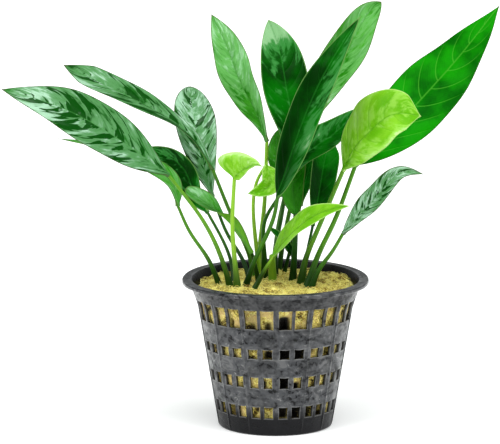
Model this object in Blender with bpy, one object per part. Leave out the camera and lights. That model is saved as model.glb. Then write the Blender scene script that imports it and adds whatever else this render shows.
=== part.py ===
"""A potted anubias: a broad-leaved water plant in a slotted nursery pot packed with stone wool.

One object per piece: the pot, the wool, three rhizomes in the wool, and a stalk and a blade for every leaf.
The origin is the middle of the pot's underside, +Z is up and the front of the plant looks towards -Y.
All dimensions below are millimetres; the mesh is written in metres.
"""

from dataclasses import dataclass

import bmesh
import bpy
import numpy as np

MM = 0.001

# The pot
POT_HEIGHT = 43.5
RIM_RADIUS = 27.5
MOUTH_RADIUS = 24.5
RIM_THICKNESS = 1.2
BASE_RADIUS = 16.8
WALL = 1.0
BASE_THICKNESS = 1.2
PANELS = 14  # each panel of the wall carries a pair of slots in every row
PAIR_SHIFT = 0.46  # degrees by which the two slots of a pair sit closer together
WALL_BREAKS = ((0.0, BASE_RADIUS), (36.0, 22.9), (40.0, 24.2), (42.2, 24.6))  # height, outer radius
SLOT_ROWS = ((5.3, 8.9, 2.65), (14.5, 18.0, 2.65), (23.5, 26.5, 3.1), (32.5, 38.4, 3.95))  # bottom, top, width
DRAIN_FROM, DRAIN_TO = 4.0, 13.5  # radii between which the drain slots of the base run

# The wool
WOOL_GAP = 0.5
WOOL_TOP = 42.5
WOOL_SHOULDER = 39.6
WOOL_TOP_RADIUS = 21.6
SOCKET_GAP = 0.35

# The plant
RHIZOME_TOP = 42.5
RHIZOME_DEPTH = 5.0
STALK_BASE = 41.0  # the height that the stalks' places are given for
STALK_START = 43.3  # the height where the solid of every stalk begins, just over the wool
STALK_FOOT, STALK_TIP = 1.15, 0.75  # radii
BLADE_THICKNESS = 0.6
JOINT_GAP = 0.6  # between the end of a stalk and its blade

OLD_GREEN = (0.02, 0.13, 0.025)
LEAF_GREEN = (0.04, 0.22, 0.02)
LIME_GREEN = (0.22, 0.48, 0.04)
STALK_GREEN = (0.09, 0.22, 0.03)


@dataclass
class Leaf:
    """One leaf: where its stalk stands, the points its stalk and midrib pass, and the shape of its blade.

    half is half of the greatest width; face_base and face_tip are the ways the upper side looks at the two ends;
    lift is how far the left and right halves rise out of the flat, in degrees; widest is where along the midrib
    the blade is broadest, full is how blunt the outline is, and sides scales the width of each half.
    """

    name: str
    foot: tuple
    stalk: tuple
    midrib: tuple
    half: float
    face_base: tuple
    face_tip: tuple
    lift: tuple = (10, 10)
    widest: float = 0.5
    full: float = 1.6
    green: tuple = OLD_GREEN
    sides: tuple = (1.0, 1.0)


LEAVES = (
    Leaf("far_left", (-12.9, -6), ((-15, -7, 48.5), (-21.5, -9, 63)),
         ((-31, -11, 76), (-45.5, -16, 87.5), (-62.5, -21, 97.5), (-78, -23, 102.5)),
         8.7, (0.35, -0.75, 0.57), (0.4, -0.6, 0.68), (2, 2), 0.49, 2.0),
    Leaf("upper_left", (-5.8, 9), ((-7, 10, 47), (-11, 9, 56.5)),
         ((-18.5, 7, 75), (-22.5, 8.5, 82), (-41.5, 13, 95), (-63, 20, 104.5)),
         6.0, (0.5, -0.25, 0.84), (0.4, -0.7, 0.6), (15, 2), 0.62, 1.25),
    Leaf("left_oval", (-7.3, 2), ((-9.3, 5, 47.5), (-14, 9, 55)),
         ((-18.5, 12, 66), (-22, 14, 77.5), (-24, 20, 87), (-25.5, 33, 96.5)),
         6.4, (0.15, -0.9, 0.45), (0.1, -0.9, 0.45), (18, 4), 0.6, 1.7),
    Leaf("left_dark", (-12.3, -2), ((-13, 1, 48), (-15.5, 3, 54.5)),
         ((-20, 5, 62.5), (-23.5, 7.5, 67), (-27, 10, 74.5), (-38, 14, 80.5)),
         3.8, (-0.3, -0.95, 0), (-0.1, -1, 0), (10, 20), 0.52, 1.6),
    Leaf("low_left", (-15.9, -4.2), ((-20, -6, 51), (-25, -6, 58.5)),
         ((-28.5, -5, 66), (-29.6, -4, 71.8), (-36.7, -1, 76.7), (-48.5, 2, 81.5), (-64, 4, 84.7)),
         4.6, (0.35, -0.45, 0.8), (0.35, -0.3, 0.9), (12, 12), 0.4, 2.2, LEAF_GREEN),
    Leaf("tall_left", (-4.6, 17.3), ((-4.5, 16.5, 50.5), (-3.5, 15.5, 60)),
         ((-2.5, 13, 82.5), (-5.5, 14, 90.5), (-10, 16, 99), (-14, 20, 109), (-19, 26, 119)),
         5.4, (-0.5, -0.85, -0.15), (0.05, -1, 0.1), (4, 14), 0.52, 2.0, LEAF_GREEN),
    Leaf("tall_dark", (1.4, 11.6), ((1, 12, 50), (2.5, 11, 61)),
         ((3.5, 10, 79), (5, 10, 87), (3.5, 12, 97.5), (1.5, 16, 108), (-2, 24, 117.5)),
         7.0, (-0.1, -1, 0.1), (0.05, -1, 0.1), (10, 10), 0.5, 1.7),
    Leaf("centre_dark", (-9.2, -5.6), ((-6, -8, 51), (-2.5, -10, 60.5)),
         ((0.5, -12, 70), (6, -16, 88), (13.5, -18, 106), (24, -15, 122.5)),
         6.0, (-0.65, -0.7, 0.3), (-0.45, -0.85, 0.25), (4, 4), 0.4, 1.65),
    Leaf("tall_back", (-1, 15.6), ((0.5, 15, 54), (3.5, 14.5, 68)),
         ((7.5, 14, 78.5), (11.5, 17, 94), (21, 22, 107.5), (27.5, 28, 118.5), (32, 34, 122)),
         6.3, (-0.4, -0.85, 0.4), (-0.15, -0.95, 0.25), (8, 12), 0.54, 1.7, LEAF_GREEN),
    Leaf("far_right", (8.8, -6.4), ((12.2, -5, 51), (16.7, -2, 60)),
         ((23.5, 5, 76.5), (32, 8, 84), (41.5, 15, 93), (54, 21, 106), (67, 27, 121.5)),
         10.0, (-0.1, -0.95, 0.3), (-0.5, -0.65, 0.55), (2, 2), 0.47, 2.0, LEAF_GREEN),
    Leaf("lime_right", (7.2, -1.8), ((8.6, -2.3, 49), (11.5, -3.5, 57)),
         ((19.5, -8, 77), (22.5, -12, 84), (27, -15, 89.5), (33.5, -17, 94.5), (41.5, -17, 94)),
         9.6, (-0.5, -0.6, 0.65), (-0.5, -0.55, 0.65), (18, 2), 0.58, 2.0, LIME_GREEN),
    Leaf("right_shaded", (-3.2, 6.6), ((-3.3, 4.5, 50), (-3, 1, 61)),
         ((1, -2, 68.5), (6, -3, 78.5), (17, -2, 87), (25, 0, 94.5)),
         5.8, (-0.5, -0.5, 0.7), (-0.25, -0.85, 0.45), (14, 20), 0.45, 1.7),
    Leaf("centre_upright", (5, 5.2), ((5.5, 4.5, 48),),
         ((6, 3, 62), (5, 2, 72.5), (6.5, 3, 82.5), (8, 4, 92)),
         4.0, (-0.25, -0.95, 0.25), (-0.2, -0.95, 0.25), (12, 16), 0.4, 1.5),
    Leaf("back_upright", (3.1, 15.4), ((4.5, 14, 50),),
         ((7.5, 14, 63), (8.5, 15, 68.5), (10.5, 17.5, 76), (12, 20.5, 83.5)),
         2.8, (-0.2, -0.9, 0.35), (-0.2, -0.9, 0.35), (12, 16), 0.55, 1.6),
    Leaf("right_upright", (8.4, 3.6), ((9, 3.5, 48.5),),
         ((11, 5, 58.5), (13, 8, 68.5), (15.5, 13, 81), (17, 19, 84)),
         4.8, (0.4, -0.9, 0), (0.3, -0.95, 0.05), (20, 4), 0.55, 1.7),
    Leaf("front_lance", (-0.7, 3.4), ((-0.9, 2, 45),),
         ((-1, -1, 50), (4, -9, 58), (12.5, -18, 66), (21, -26, 69.5)),
         4.2, (-0.65, -0.4, 0.65), (-0.6, -0.6, 0.5), (20, 12), 0.36, 1.6, LIME_GREEN),
    Leaf("low_right", (10, -9.4), ((12.5, -10, 48), (16, -10.5, 53)),
         ((19.5, -11, 59), (25, -14, 66), (30.5, -18, 73), (36, -21, 78.5), (42, -22, 78)),
         3.6, (-0.7, -0.6, 0.4), (-0.2, -0.95, 0.2), (20, 14), 0.42, 1.7, LEAF_GREEN),
    Leaf("heart", (-11, -10), ((-12, -10.5, 51.5), (-12.6, -12, 61.5)),
         ((-12, -12.5, 75.5), (-11.2, -14, 77.7), (-9.9, -15.5, 79.6), (-7.9, -18, 81.1), (-5.5, -20.5, 81.5),
          (-3.7, -22, 80.5)),
         5.6, (-0.1, -1, 0.1), (0.1, -0.9, 0.4), (10, 10), 0.27, 1.6, LIME_GREEN, (1.0, 0.45)),
    Leaf("young_curl", (-4.4, 13), ((-6.3, 11, 58), (-5, 10.5, 72)),
         ((-2.8, 9, 75.9), (-1.5, 6.5, 73.3), (-1.4, 5, 70.9), (-4, 3.5, 69.2), (-8.2, 2, 68.6)),
         2.9, (0.2, -0.95, 0.2), (-0.2, -0.85, 0.5), (10, 25), 0.42, 1.7, LIME_GREEN, (1.0, 0.65)),
    Leaf("twisted", (-4.9, 3), ((-5.5, 1.5, 45),),
         ((-7, -1, 51.5), (-11.5, -2.5, 59), (-20, -4, 66.5), (-26.5, -5, 71)),
         2.6, (0.65, -0.65, 0.45), (0.2, -0.8, 0.6), (25, 15), 0.55, 1.1, LEAF_GREEN),
    Leaf("back_hidden", (0.9, 18.6), ((2.5, 19, 51.5),),
         ((5, 18, 64), (3, 18.5, 71), (0.5, 19, 78), (1, 21, 85)),
         3.0, (-0.4, -0.9, 0), (-0.2, -1, 0), (6, 12), 0.55, 1.7, LEAF_GREEN),
    Leaf("blue_slip", (6.2, 9), ((5.8, 8.5, 44),),
         ((5.5, 7.5, 48), (4, 5.5, 52), (1.5, 4, 55.5), (-2, 3, 58.5)),
         1.3, (-0.3, -0.8, 0.5), (-0.3, -0.8, 0.5), (10, 12), 0.5, 1.5),
)

SHOOT_PATH = ((-7, -9.6, STALK_BASE), (-5.4, -9.2, 44), (-2.8, -9.4, 48.5), (-0.5, -10, 52.5))

# name, centre, half length, half width, direction of the length in degrees from +X
RHIZOMES = (
    ("rhizome_left", (-11.3, -6.6), 6.6, 5.6, 0),
    ("rhizome_middle", (-2.5, 10), 10.5, 5.5, 71.3),
    ("rhizome_right", (8.3, 1), 12.0, 4.3, 95),
)


def unit(vectors):
    """The vectors at length 1, along the last axis."""
    vectors = np.asarray(vectors, float)
    return vectors / np.linalg.norm(vectors, axis=-1, keepdims=True)


def spline(points, t):
    """Positions and unit tangents of the natural cubic spline through the points, at shares t of its chord length."""
    p = np.asarray(points, float)
    n = len(p)
    chord = np.concatenate(([0], np.cumsum(np.linalg.norm(np.diff(p, axis=0), axis=1))))
    knot = chord / chord[-1]
    h = np.diff(knot)
    rows, right = np.eye(n), np.zeros((n, 3))
    for i in range(1, n - 1):
        rows[i, i - 1 : i + 2] = h[i - 1], 2 * (h[i - 1] + h[i]), h[i]
        right[i] = 6 * ((p[i + 1] - p[i]) / h[i] - (p[i] - p[i - 1]) / h[i - 1])
    bend = np.linalg.solve(rows, right)
    i = np.clip(np.searchsorted(knot, t, side="right") - 1, 0, n - 2)
    step, u, v = h[i][:, None], (t - knot[i])[:, None], (knot[i + 1] - t)[:, None]
    near, far = p[i] / step - bend[i] * step / 6, p[i + 1] / step - bend[i + 1] * step / 6
    place = (bend[i] * v**3 + bend[i + 1] * u**3) / (6 * step) + far * u + near * v
    slope = (bend[i + 1] * u**2 - bend[i] * v**2) / (2 * step) + far - near
    return place, unit(slope)


def blade_sheet(leaf, rows=8, columns=4):
    """The middle surface of a blade: points and upper-side normals on a grid from neck to tip and left to right.

    The half width follows t^(full*m) * (1-t)^(full*(1-m)), scaled to 1 at t = m, the widest place.
    """
    t = np.linspace(0.0, 1.0, rows + 1)
    place, along = spline(leaf.midrib, t)
    ease = (t * t * (3 - 2 * t))[:, None]
    face = unit(leaf.face_base) * (1 - ease) + unit(leaf.face_tip) * ease
    side = unit(np.cross(along, face))
    up = np.cross(side, along)
    m = leaf.widest
    outline = (t / m) ** (leaf.full * m) * ((1 - t) / (1 - m)) ** (leaf.full * (1 - m))
    width = np.maximum(leaf.half * outline, 0.45)[:, None, None]
    across = np.linspace(-1.0, 1.0, columns + 1)
    lift = np.radians(np.where(across < 0, leaf.lift[0], leaf.lift[1]))
    reach = across * np.where(across < 0, *leaf.sides)
    out, rise = (reach * np.cos(lift))[None, :, None], (np.abs(reach) * np.sin(lift))[None, :, None]
    points = place[:, None] + width * (side[:, None] * out + up[:, None] * rise)
    down_the_blade, over_the_blade = np.gradient(points, axis=0), np.gradient(points, axis=1)
    return points, unit(np.cross(over_the_blade, down_the_blade))


def sheet_solid(points, normals, thickness):
    """Vertices and quads of a closed solid of one thickness round a grid surface."""
    rows, columns = points.shape[:2]
    half = normals * thickness / 2
    vertices = np.concatenate([(points + half).reshape(-1, 3), (points - half).reshape(-1, 3)])
    top = np.arange(rows * columns).reshape(rows, columns)
    under = top + rows * columns
    faces = quads(top) + quads(under[:, ::-1])
    edge = np.concatenate([top[0], top[1:, -1], top[-1, -2::-1], top[-2:0:-1, 0]])
    below = edge + rows * columns
    faces += [[a, b, d, c] for a, b, c, d in zip(edge, np.roll(edge, -1), below, np.roll(below, -1))]
    return vertices, faces


def quads(grid):
    """The quads between neighbouring rows and columns of a grid of vertex numbers."""
    return np.stack([grid[:-1, :-1], grid[1:, :-1], grid[1:, 1:], grid[:-1, 1:]], -1).reshape(-1, 4).tolist()


def tube(points, radii, sides=6, steps=6):
    """Vertices and faces of a closed round tube along a spline, its radius running evenly through radii.

    The tube begins where the spline passes the height STALK_START.
    """
    t = np.linspace(0.0, 0.5, 400)
    t = np.linspace(np.interp(STALK_START, spline(points, t)[0][:, 2], t), 1.0, steps + 1)
    place, along = spline(points, t)
    first = unit(np.cross(along, (0.2, 1.0, 0.1)))
    second = np.cross(along, first)
    turn = np.arange(sides) * 2 * np.pi / sides
    radius = np.interp(t, np.linspace(0, 1, len(radii)), radii)[:, None, None]
    ring = first[:, None] * np.cos(turn)[None, :, None] + second[:, None] * np.sin(turn)[None, :, None]
    vertices = (place[:, None] + radius * ring).reshape(-1, 3)
    grid = np.arange(len(vertices)).reshape(steps + 1, sides)
    faces = quads(np.concatenate([grid, grid[:, :1]], 1)[:, ::-1])
    return vertices, faces + [grid[0][::-1].tolist(), grid[-1].tolist()]


def wall_radius(height):
    """The outer radius of the pot's wall."""
    heights, radii = zip(*WALL_BREAKS)
    return np.interp(height, heights, radii)


def pot_shell():
    """Vertices and faces of the pot: an outer and an inner skin on one grid, joined through every slot and at the rim.

    Each level holds the outer point, the inner point and the slot width in degrees; each column of the grid is in
    turn a slot and a bar.
    """
    slots = 2 * PANELS
    pitch = 360.0 / slots
    base_slot = 7.0
    levels = [
        ((DRAIN_FROM, 0), (DRAIN_FROM, BASE_THICKNESS), base_slot),
        ((DRAIN_TO, 0), (DRAIN_TO, BASE_THICKNESS), base_slot),
        ((BASE_RADIUS - 0.4, 0), (BASE_RADIUS - 1.3, BASE_THICKNESS), base_slot),
        ((wall_radius(0.5), 0.5), (wall_radius(0.5) - WALL, BASE_THICKNESS + 0.5), base_slot),
    ]
    for bottom, top, width in SLOT_ROWS:
        degrees = np.degrees(width / wall_radius((bottom + top) / 2))
        levels += [((wall_radius(z), z), (wall_radius(z) - WALL, z), degrees) for z in (bottom, top)]
    last = levels[-1][2]
    levels += [
        ((wall_radius(40), 40), (wall_radius(40) - WALL, 40.3), last),
        ((wall_radius(42.2), POT_HEIGHT - RIM_THICKNESS), (MOUTH_RADIUS, POT_HEIGHT), last),
        ((RIM_RADIUS, POT_HEIGHT - RIM_THICKNESS), (RIM_RADIUS, POT_HEIGHT), last),
    ]
    middle = (np.arange(slots) + 0.5) * pitch + np.where(np.arange(slots) % 2, -PAIR_SHIFT, PAIR_SHIFT) - 90.0
    skins = []
    for skin in (0, 1):
        rings = []
        for level in levels:
            angle = np.radians(np.stack([middle - level[2] / 2, middle + level[2] / 2], 1).ravel())
            radius, height = level[skin]
            rings.append(np.stack([radius * np.cos(angle), radius * np.sin(angle), np.full(2 * slots, height)], -1))
        skins.append(np.array(rings))
    count = len(levels) * 2 * slots
    vertices = np.concatenate([skins[0].reshape(-1, 3), skins[1].reshape(-1, 3), [(0, 0, 0), (0, 0, BASE_THICKNESS)]])
    outer = np.arange(count).reshape(len(levels), 2 * slots)
    wall_slots = {4 + 2 * row for row in range(len(SLOT_ROWS))}

    def is_hole(band, column):
        column %= 2 * slots
        return column % 2 == 0 and (band in wall_slots or (band == 0 and column % 4 == 0))

    faces = []
    for band in range(len(levels) - 1):
        for column in range(2 * slots):
            after = (column + 1) % (2 * slots)
            a, b, c, d = outer[band, column], outer[band, after], outer[band + 1, after], outer[band + 1, column]
            if is_hole(band, column):
                faces += [[a, a + count, b + count, b], [c, c + count, d + count, d]]
                faces += [[b, b + count, c + count, c], [d, d + count, a + count, a]]
            else:
                faces += [[a, b, c, d], [a + count, d + count, c + count, b + count]]
    for column in range(2 * slots):
        after = (column + 1) % (2 * slots)
        a, b = outer[-1, column], outer[-1, after]
        faces.append([a, b, b + count, a + count])
        a, b = outer[0, column], outer[0, after]
        faces += [[2 * count, b, a], [2 * count + 1, a + count, b + count]]
    return vertices, faces


def wool_height(x, y):
    """The top of the wool: low waves, with a lump at the right and a smaller one at the back left."""
    waves = 0.28 * np.sin(0.55 * x + 1.3) * np.cos(0.47 * y - 0.6) + 0.16 * np.sin(1.1 * x - 0.8 * y)
    lump = 2.0 * np.exp(-((x - 17.0) ** 2 + (y - 4) ** 2) / 16.0) + 0.7 * np.exp(-((x + 16.5) ** 2 + (y - 8) ** 2) / 8.0)
    return WOOL_TOP - 0.45 + waves + lump


def wool_plug(sides=26):
    """Vertices and faces of the wool before its sockets are cut: a tapered plug with an uneven top."""
    turn = np.arange(sides) * 2 * np.pi / sides
    rings = []
    low = BASE_THICKNESS + WOOL_GAP
    for z in (low + 0.6, 20.0, 36.0, WOOL_SHOULDER):
        rings.append((wall_radius(z) - WALL - WOOL_GAP, np.full(sides, z)))
    rings.insert(0, (rings[0][0] - 0.8, np.full(sides, low)))
    for share in (1.0, 0.85, 0.66, 0.44, 0.22):
        radius = WOOL_TOP_RADIUS * share
        rings.append((radius, wool_height(radius * np.cos(turn), radius * np.sin(turn))))
    vertices = np.concatenate([np.stack([r * np.cos(turn), r * np.sin(turn), z], -1) for r, z in rings])
    ends = [(0, 0, low), (0, 0, wool_height(0.0, 0.0))]
    grid = np.arange(len(vertices)).reshape(len(rings), sides)
    wrapped = np.concatenate([grid, grid[:, :1]], 1)
    faces = quads(wrapped[:, ::-1])
    base, crest = len(vertices), len(vertices) + 1
    for a, b in zip(wrapped[0], wrapped[0][1:]):
        faces.append([base, b, a])
    for a, b in zip(wrapped[-1], wrapped[-1][1:]):
        faces.append([crest, a, b])
    return np.concatenate([vertices, ends]), faces


def rhizome_solid(centre, half_length, half_width, direction, grow=0.0, top=RHIZOME_TOP, sides=16):
    """Vertices and faces of a rhizome, an upright oval with a bevel below and a small one above, or its socket."""
    turn = np.arange(sides) * 2 * np.pi / sides
    cos, sin = np.cos(np.radians(direction)), np.sin(np.radians(direction))
    base = RHIZOME_TOP - RHIZOME_DEPTH - grow
    bevel = 0.0 if grow else 0.4
    rings = []
    for inset, z in ((1.6, base), (0.0, base + 1.6), (0.0, top - 0.4), (bevel, top)):
        u = (half_length + grow - inset) * np.cos(turn)
        v = (half_width + grow - inset) * np.sin(turn)
        rings.append(np.stack([centre[0] + u * cos - v * sin, centre[1] + u * sin + v * cos, np.full(sides, z)], -1))
    vertices = np.concatenate(rings)
    grid = np.arange(len(vertices)).reshape(len(rings), sides)
    faces = quads(np.concatenate([grid, grid[:, :1]], 1)[:, ::-1])
    return vertices, faces + [grid[0][::-1].tolist(), grid[-1].tolist()]


def material(name, colour, roughness, metallic=0.0):
    made = bpy.data.materials.new(name)
    made.use_nodes = True
    shader = made.node_tree.nodes["Principled BSDF"]
    shader.inputs["Base Color"].default_value = (*colour, 1.0)
    shader.inputs["Roughness"].default_value = roughness
    shader.inputs["Metallic"].default_value = metallic
    return made


def add(name, vertices, faces, colour, roughness):
    """One object at the origin with its own material, its faces turned outwards."""
    mesh = bpy.data.meshes.new(name)
    mesh.from_pydata((np.asarray(vertices) * MM).tolist(), [], faces)
    work = bmesh.new()
    work.from_mesh(mesh)
    bmesh.ops.recalc_face_normals(work, faces=work.faces)
    bmesh.ops.triangulate(work, faces=work.faces)
    work.to_mesh(mesh)
    work.free()
    mesh.materials.append(material(name, colour, roughness))
    made = bpy.data.objects.new(name, mesh)
    bpy.context.scene.collection.objects.link(made)
    return made


def main():
    for old in list(bpy.data.objects):
        bpy.data.objects.remove(old)

    add("net_pot", *pot_shell(), (0.02, 0.02, 0.022), 0.42)
    wool = add("stone_wool", *wool_plug(), (0.62, 0.46, 0.16), 0.95)
    for name, *shape in RHIZOMES:
        add(name, *rhizome_solid(*shape), (0.12, 0.11, 0.04), 0.6)
        cutter = add(f"{name}_socket", *rhizome_solid(*shape, grow=SOCKET_GAP, top=POT_HEIGHT + 3), (1, 1, 1), 1)
        cutter.hide_render = True
        cutter.hide_viewport = True
        cut = wool.modifiers.new(f"{name} socket", "BOOLEAN")
        cut.operation, cut.solver, cut.object = "DIFFERENCE", "EXACT", cutter

    for leaf in LEAVES:
        add(f"blade_{leaf.name}", *sheet_solid(*blade_sheet(leaf), BLADE_THICKNESS), leaf.green, 0.32)
        neck = np.array(leaf.midrib[0], float)
        short = neck - JOINT_GAP * unit(neck - leaf.stalk[-1])
        route = ((*leaf.foot, STALK_BASE), *leaf.stalk, tuple(short))
        add(f"stalk_{leaf.name}", *tube(route, (STALK_FOOT, STALK_TIP)), STALK_GREEN, 0.4)
    add("young_shoot", *tube(SHOOT_PATH, (1.0, 0.9, 0.7, 0.25)), LIME_GREEN, 0.4)


if __name__ == "__main__":
    main()
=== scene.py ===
"""A potted anubias: a broad-leaved water plant in a black slotted nursery pot packed with stone wool.

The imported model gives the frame, and every piece here stands for one of its nodes, in the same place.
Shapes are worked out in millimetres and written to their meshes in metres. The origin is the middle of the
pot's underside, +Z is up and the front of the plant looks towards -Y.
"""

import logging
import math
from dataclasses import dataclass, field
from enum import Enum
from typing import Any, Callable, Optional, Sequence, Union

import bmesh
import bpy
import numpy as np
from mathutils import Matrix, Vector


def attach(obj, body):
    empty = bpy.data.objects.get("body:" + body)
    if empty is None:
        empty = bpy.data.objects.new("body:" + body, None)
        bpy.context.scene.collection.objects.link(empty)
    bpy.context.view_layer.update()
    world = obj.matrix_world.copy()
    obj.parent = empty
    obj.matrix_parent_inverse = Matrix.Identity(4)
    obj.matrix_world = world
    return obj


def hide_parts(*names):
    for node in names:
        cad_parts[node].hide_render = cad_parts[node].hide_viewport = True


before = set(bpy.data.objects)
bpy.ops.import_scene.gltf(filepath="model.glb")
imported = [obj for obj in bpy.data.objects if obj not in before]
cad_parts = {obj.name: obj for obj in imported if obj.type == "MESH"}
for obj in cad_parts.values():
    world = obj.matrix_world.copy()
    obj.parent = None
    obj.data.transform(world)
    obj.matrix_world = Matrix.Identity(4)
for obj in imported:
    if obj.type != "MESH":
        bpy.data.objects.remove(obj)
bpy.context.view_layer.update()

MM = 0.001
BODY = "root"
LOG = logging.getLogger("potted anubias")

# Side veins of a blade: how far they have run up it at the margin, how they bend on the way there, and how
# far the right half's veins sit past the left half's.
VEIN_RISE, VEIN_BEND, VEIN_STAGGER = 0.19, 1.5, 0.43

Array = np.ndarray
Triple = tuple[float, float, float]
Colour = tuple[float, float, float]


# -----------------------------------------------------------------------------------------------------------
# Shapes on arrays
# -----------------------------------------------------------------------------------------------------------


def unit(vectors: Any) -> Array:
    """Vectors at length 1, along the last axis."""
    vectors = np.asarray(vectors, float)
    return vectors / np.linalg.norm(vectors, axis=-1, keepdims=True)


def smooth(low: float, high: float, x: Array) -> Array:
    """The soft step 3s^2 - 2s^3 from 0 at low to 1 at high."""
    share = np.clip((x - low) / (high - low), 0.0, 1.0)
    return share * share * (3 - 2 * share)


def bell(x: Array, width: float) -> Array:
    """The bell curve exp(-(x / width)^2)."""
    return np.exp(-((x / width) ** 2))


def natural_spline(points: Sequence[Triple], t: Array) -> tuple[Array, Array]:
    """The natural cubic spline through the points, measured along its chords.

    The second slopes b solve h0*b0 + 2*(h0+h1)*b1 + h1*b2 = 6*(change of slope) at every inner point and are
    0 at both ends; between two points the curve is the cubic with those second slopes.

    Args:
        points: The points that it passes, in mm.
        t: Shares of the chord length, between 0 and 1.

    Returns:
        The places and the unit tangents at t.
    """
    p = np.asarray(points, float)
    knot = np.concatenate(([0.0], np.cumsum(np.linalg.norm(np.diff(p, axis=0), axis=1))))
    knot /= knot[-1]
    h = np.diff(knot)
    rows, right, inner = np.eye(len(p)), np.zeros_like(p), np.arange(1, len(p) - 1)
    rows[inner, inner - 1], rows[inner, inner + 1] = h[:-1], h[1:]
    rows[inner, inner] = 2 * (h[:-1] + h[1:])
    right[1:-1] = 6 * np.diff(np.diff(p, axis=0) / h[:, None], axis=0)
    bend = np.linalg.solve(rows, right)
    i = np.clip(np.searchsorted(knot, t, side="right") - 1, 0, len(p) - 2)
    step, u, v = h[i][:, None], (t - knot[i])[:, None], (knot[i + 1] - t)[:, None]
    near, far = p[i] / step - bend[i] * step / 6, p[i + 1] / step - bend[i + 1] * step / 6
    place = (bend[i] * v**3 + bend[i + 1] * u**3) / (6 * step) + far * u + near * v
    return place, unit((bend[i + 1] * u**2 - bend[i] * v**2) / (2 * step) + far - near)


def cloud(points: Array, size: float, seed: float, octaves: int = 3) -> Array:
    """Smooth random values between -1 and 1, about size mm across.

    Each octave takes a seeded random value at the eight corners of the cell round a point and blends them
    with soft steps; every further octave is half as large and half as strong.

    Args:
        points: Places in mm, with x, y and z along the last axis.
        size: The cell of the first octave in mm.
        seed: Any number; another seed gives another cloud.
        octaves: How many octaves are added.

    Returns:
        One value for each point.
    """
    total, weight = np.zeros(points.shape[:-1]), 0.0
    for octave in range(octaves):
        scaled = points * (2.0**octave / size) + 17.3 * octave
        cell = np.floor(scaled)
        share = scaled - cell
        share = share * share * (3 - 2 * share)
        value = np.zeros(points.shape[:-1])
        for corner in np.ndindex(2, 2, 2):
            step = np.array(corner, float)
            random = np.sin((cell + step) @ np.array((127.1, 311.7, 74.7)) + 19.19 * seed) * 43758.5453
            value += (random - np.floor(random)) * np.prod(np.where(step > 0, share, 1 - share), axis=-1)
        total += (2 * value - 1) / 2.0**octave
        weight += 1 / 2.0**octave
    return total / weight


def quads(grid: Array) -> list[list[int]]:
    """The four-cornered faces between neighbouring rows and columns of a grid of corner numbers."""
    corners = (grid[:-1, :-1], grid[1:, :-1], grid[1:, 1:], grid[:-1, 1:])
    return np.stack(corners, -1).reshape(-1, 4).tolist()


def fan(pole: int, ring: Array) -> list[list[int]]:
    """The triangles between a pole and a closed ring of corner numbers."""
    return np.stack([np.full(len(ring), pole), ring, np.roll(ring, -1)], -1).tolist()


def ring_frame(along: Array) -> tuple[Array, Array]:
    """Two directions square to a path and to each other: cross products with a nearly level direction."""
    side = unit(np.cross(along, (0.2, 1.0, 0.1)))
    return side, np.cross(side, along)


def add_object(name: str, data: bpy.types.ID) -> bpy.types.Object:
    """Makes an object from its data and puts it in the scene.

    Args:
        name: The object's name.
        data: Its mesh, light or camera.

    Returns:
        The new object.
    """
    made = bpy.data.objects.new(name, data)
    bpy.context.scene.collection.objects.link(made)
    return made


@dataclass
class Form:
    """A closed surface, with values kept at its corners.

    Attributes:
        corners: Places in mm.
        faces: Corner numbers of each face.
        values: Named values at the corners: one number each, or three.
    """

    corners: Array
    faces: list[list[int]]
    values: dict[str, Array] = field(default_factory=dict)

    @classmethod
    def closed_rings(cls, rings: Array, values: Optional[dict[str, Array]] = None) -> "Form":
        """A tube or plug from rings of points, closed at each end by a pole in the middle of the end ring.

        Args:
            rings: Points with the ring along the first axis and the turn along the second.
            values: Values on the same grid.

        Returns:
            The closed form.
        """
        count, turns = rings.shape[:2]
        grid = np.arange(count * turns).reshape(count, turns)
        faces = quads(np.concatenate([grid, grid[:, :1]], 1))
        faces += fan(count * turns, grid[0]) + fan(count * turns + 1, grid[-1][::-1])
        corners, *kept = [
            np.concatenate([part.reshape(count * turns, -1), part[0].mean(0)[None], part[-1].mean(0)[None]])
            for part in (rings, *(values or {}).values())
        ]
        return cls(corners, faces, dict(zip(values or {}, kept)))

    def piece(
        self, name: str, material: bpy.types.Material, node: str, hides: bool = True
    ) -> bpy.types.Object:
        """Writes the form to a mesh object that rides on the plant's one body.

        Args:
            name: The piece's name.
            material: Its finish.
            node: The CAD node that it belongs to.
            hides: Whether it stands in for that node.

        Returns:
            The new object.
        """
        mesh = bpy.data.meshes.new(name)
        mesh.from_pydata((self.corners * MM).tolist(), [], self.faces)
        for label, value in self.values.items():
            three = value.shape[-1] == 3
            kept = mesh.attributes.new(label, "FLOAT_VECTOR" if three else "FLOAT", "POINT")
            kept.data.foreach_set("vector" if three else "value", value.astype(np.float32).ravel())
        work = bmesh.new()
        work.from_mesh(mesh)
        bmesh.ops.recalc_face_normals(work, faces=work.faces)
        work.to_mesh(mesh)
        work.free()
        mesh.shade_smooth()
        mesh.materials.append(material)
        made = add_object(name, mesh)
        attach(made, BODY)
        if hides:
            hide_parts(node)
        return made


# -----------------------------------------------------------------------------------------------------------
# Shader kit
# -----------------------------------------------------------------------------------------------------------


def math_operator(operation: str, swapped: bool = False) -> Callable[["Value", Any], "Value"]:
    """Makes an operator of Value that adds one Math node.

    Args:
        operation: The node's operation.
        swapped: Whether the other value comes first, as in a reflected operator.

    Returns:
        The method.
    """

    def method(self: "Value", other: Any) -> "Value":
        """The operation on self and the other value."""
        return self.math(operation, *((other, self) if swapped else (self, other)))

    return method


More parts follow.
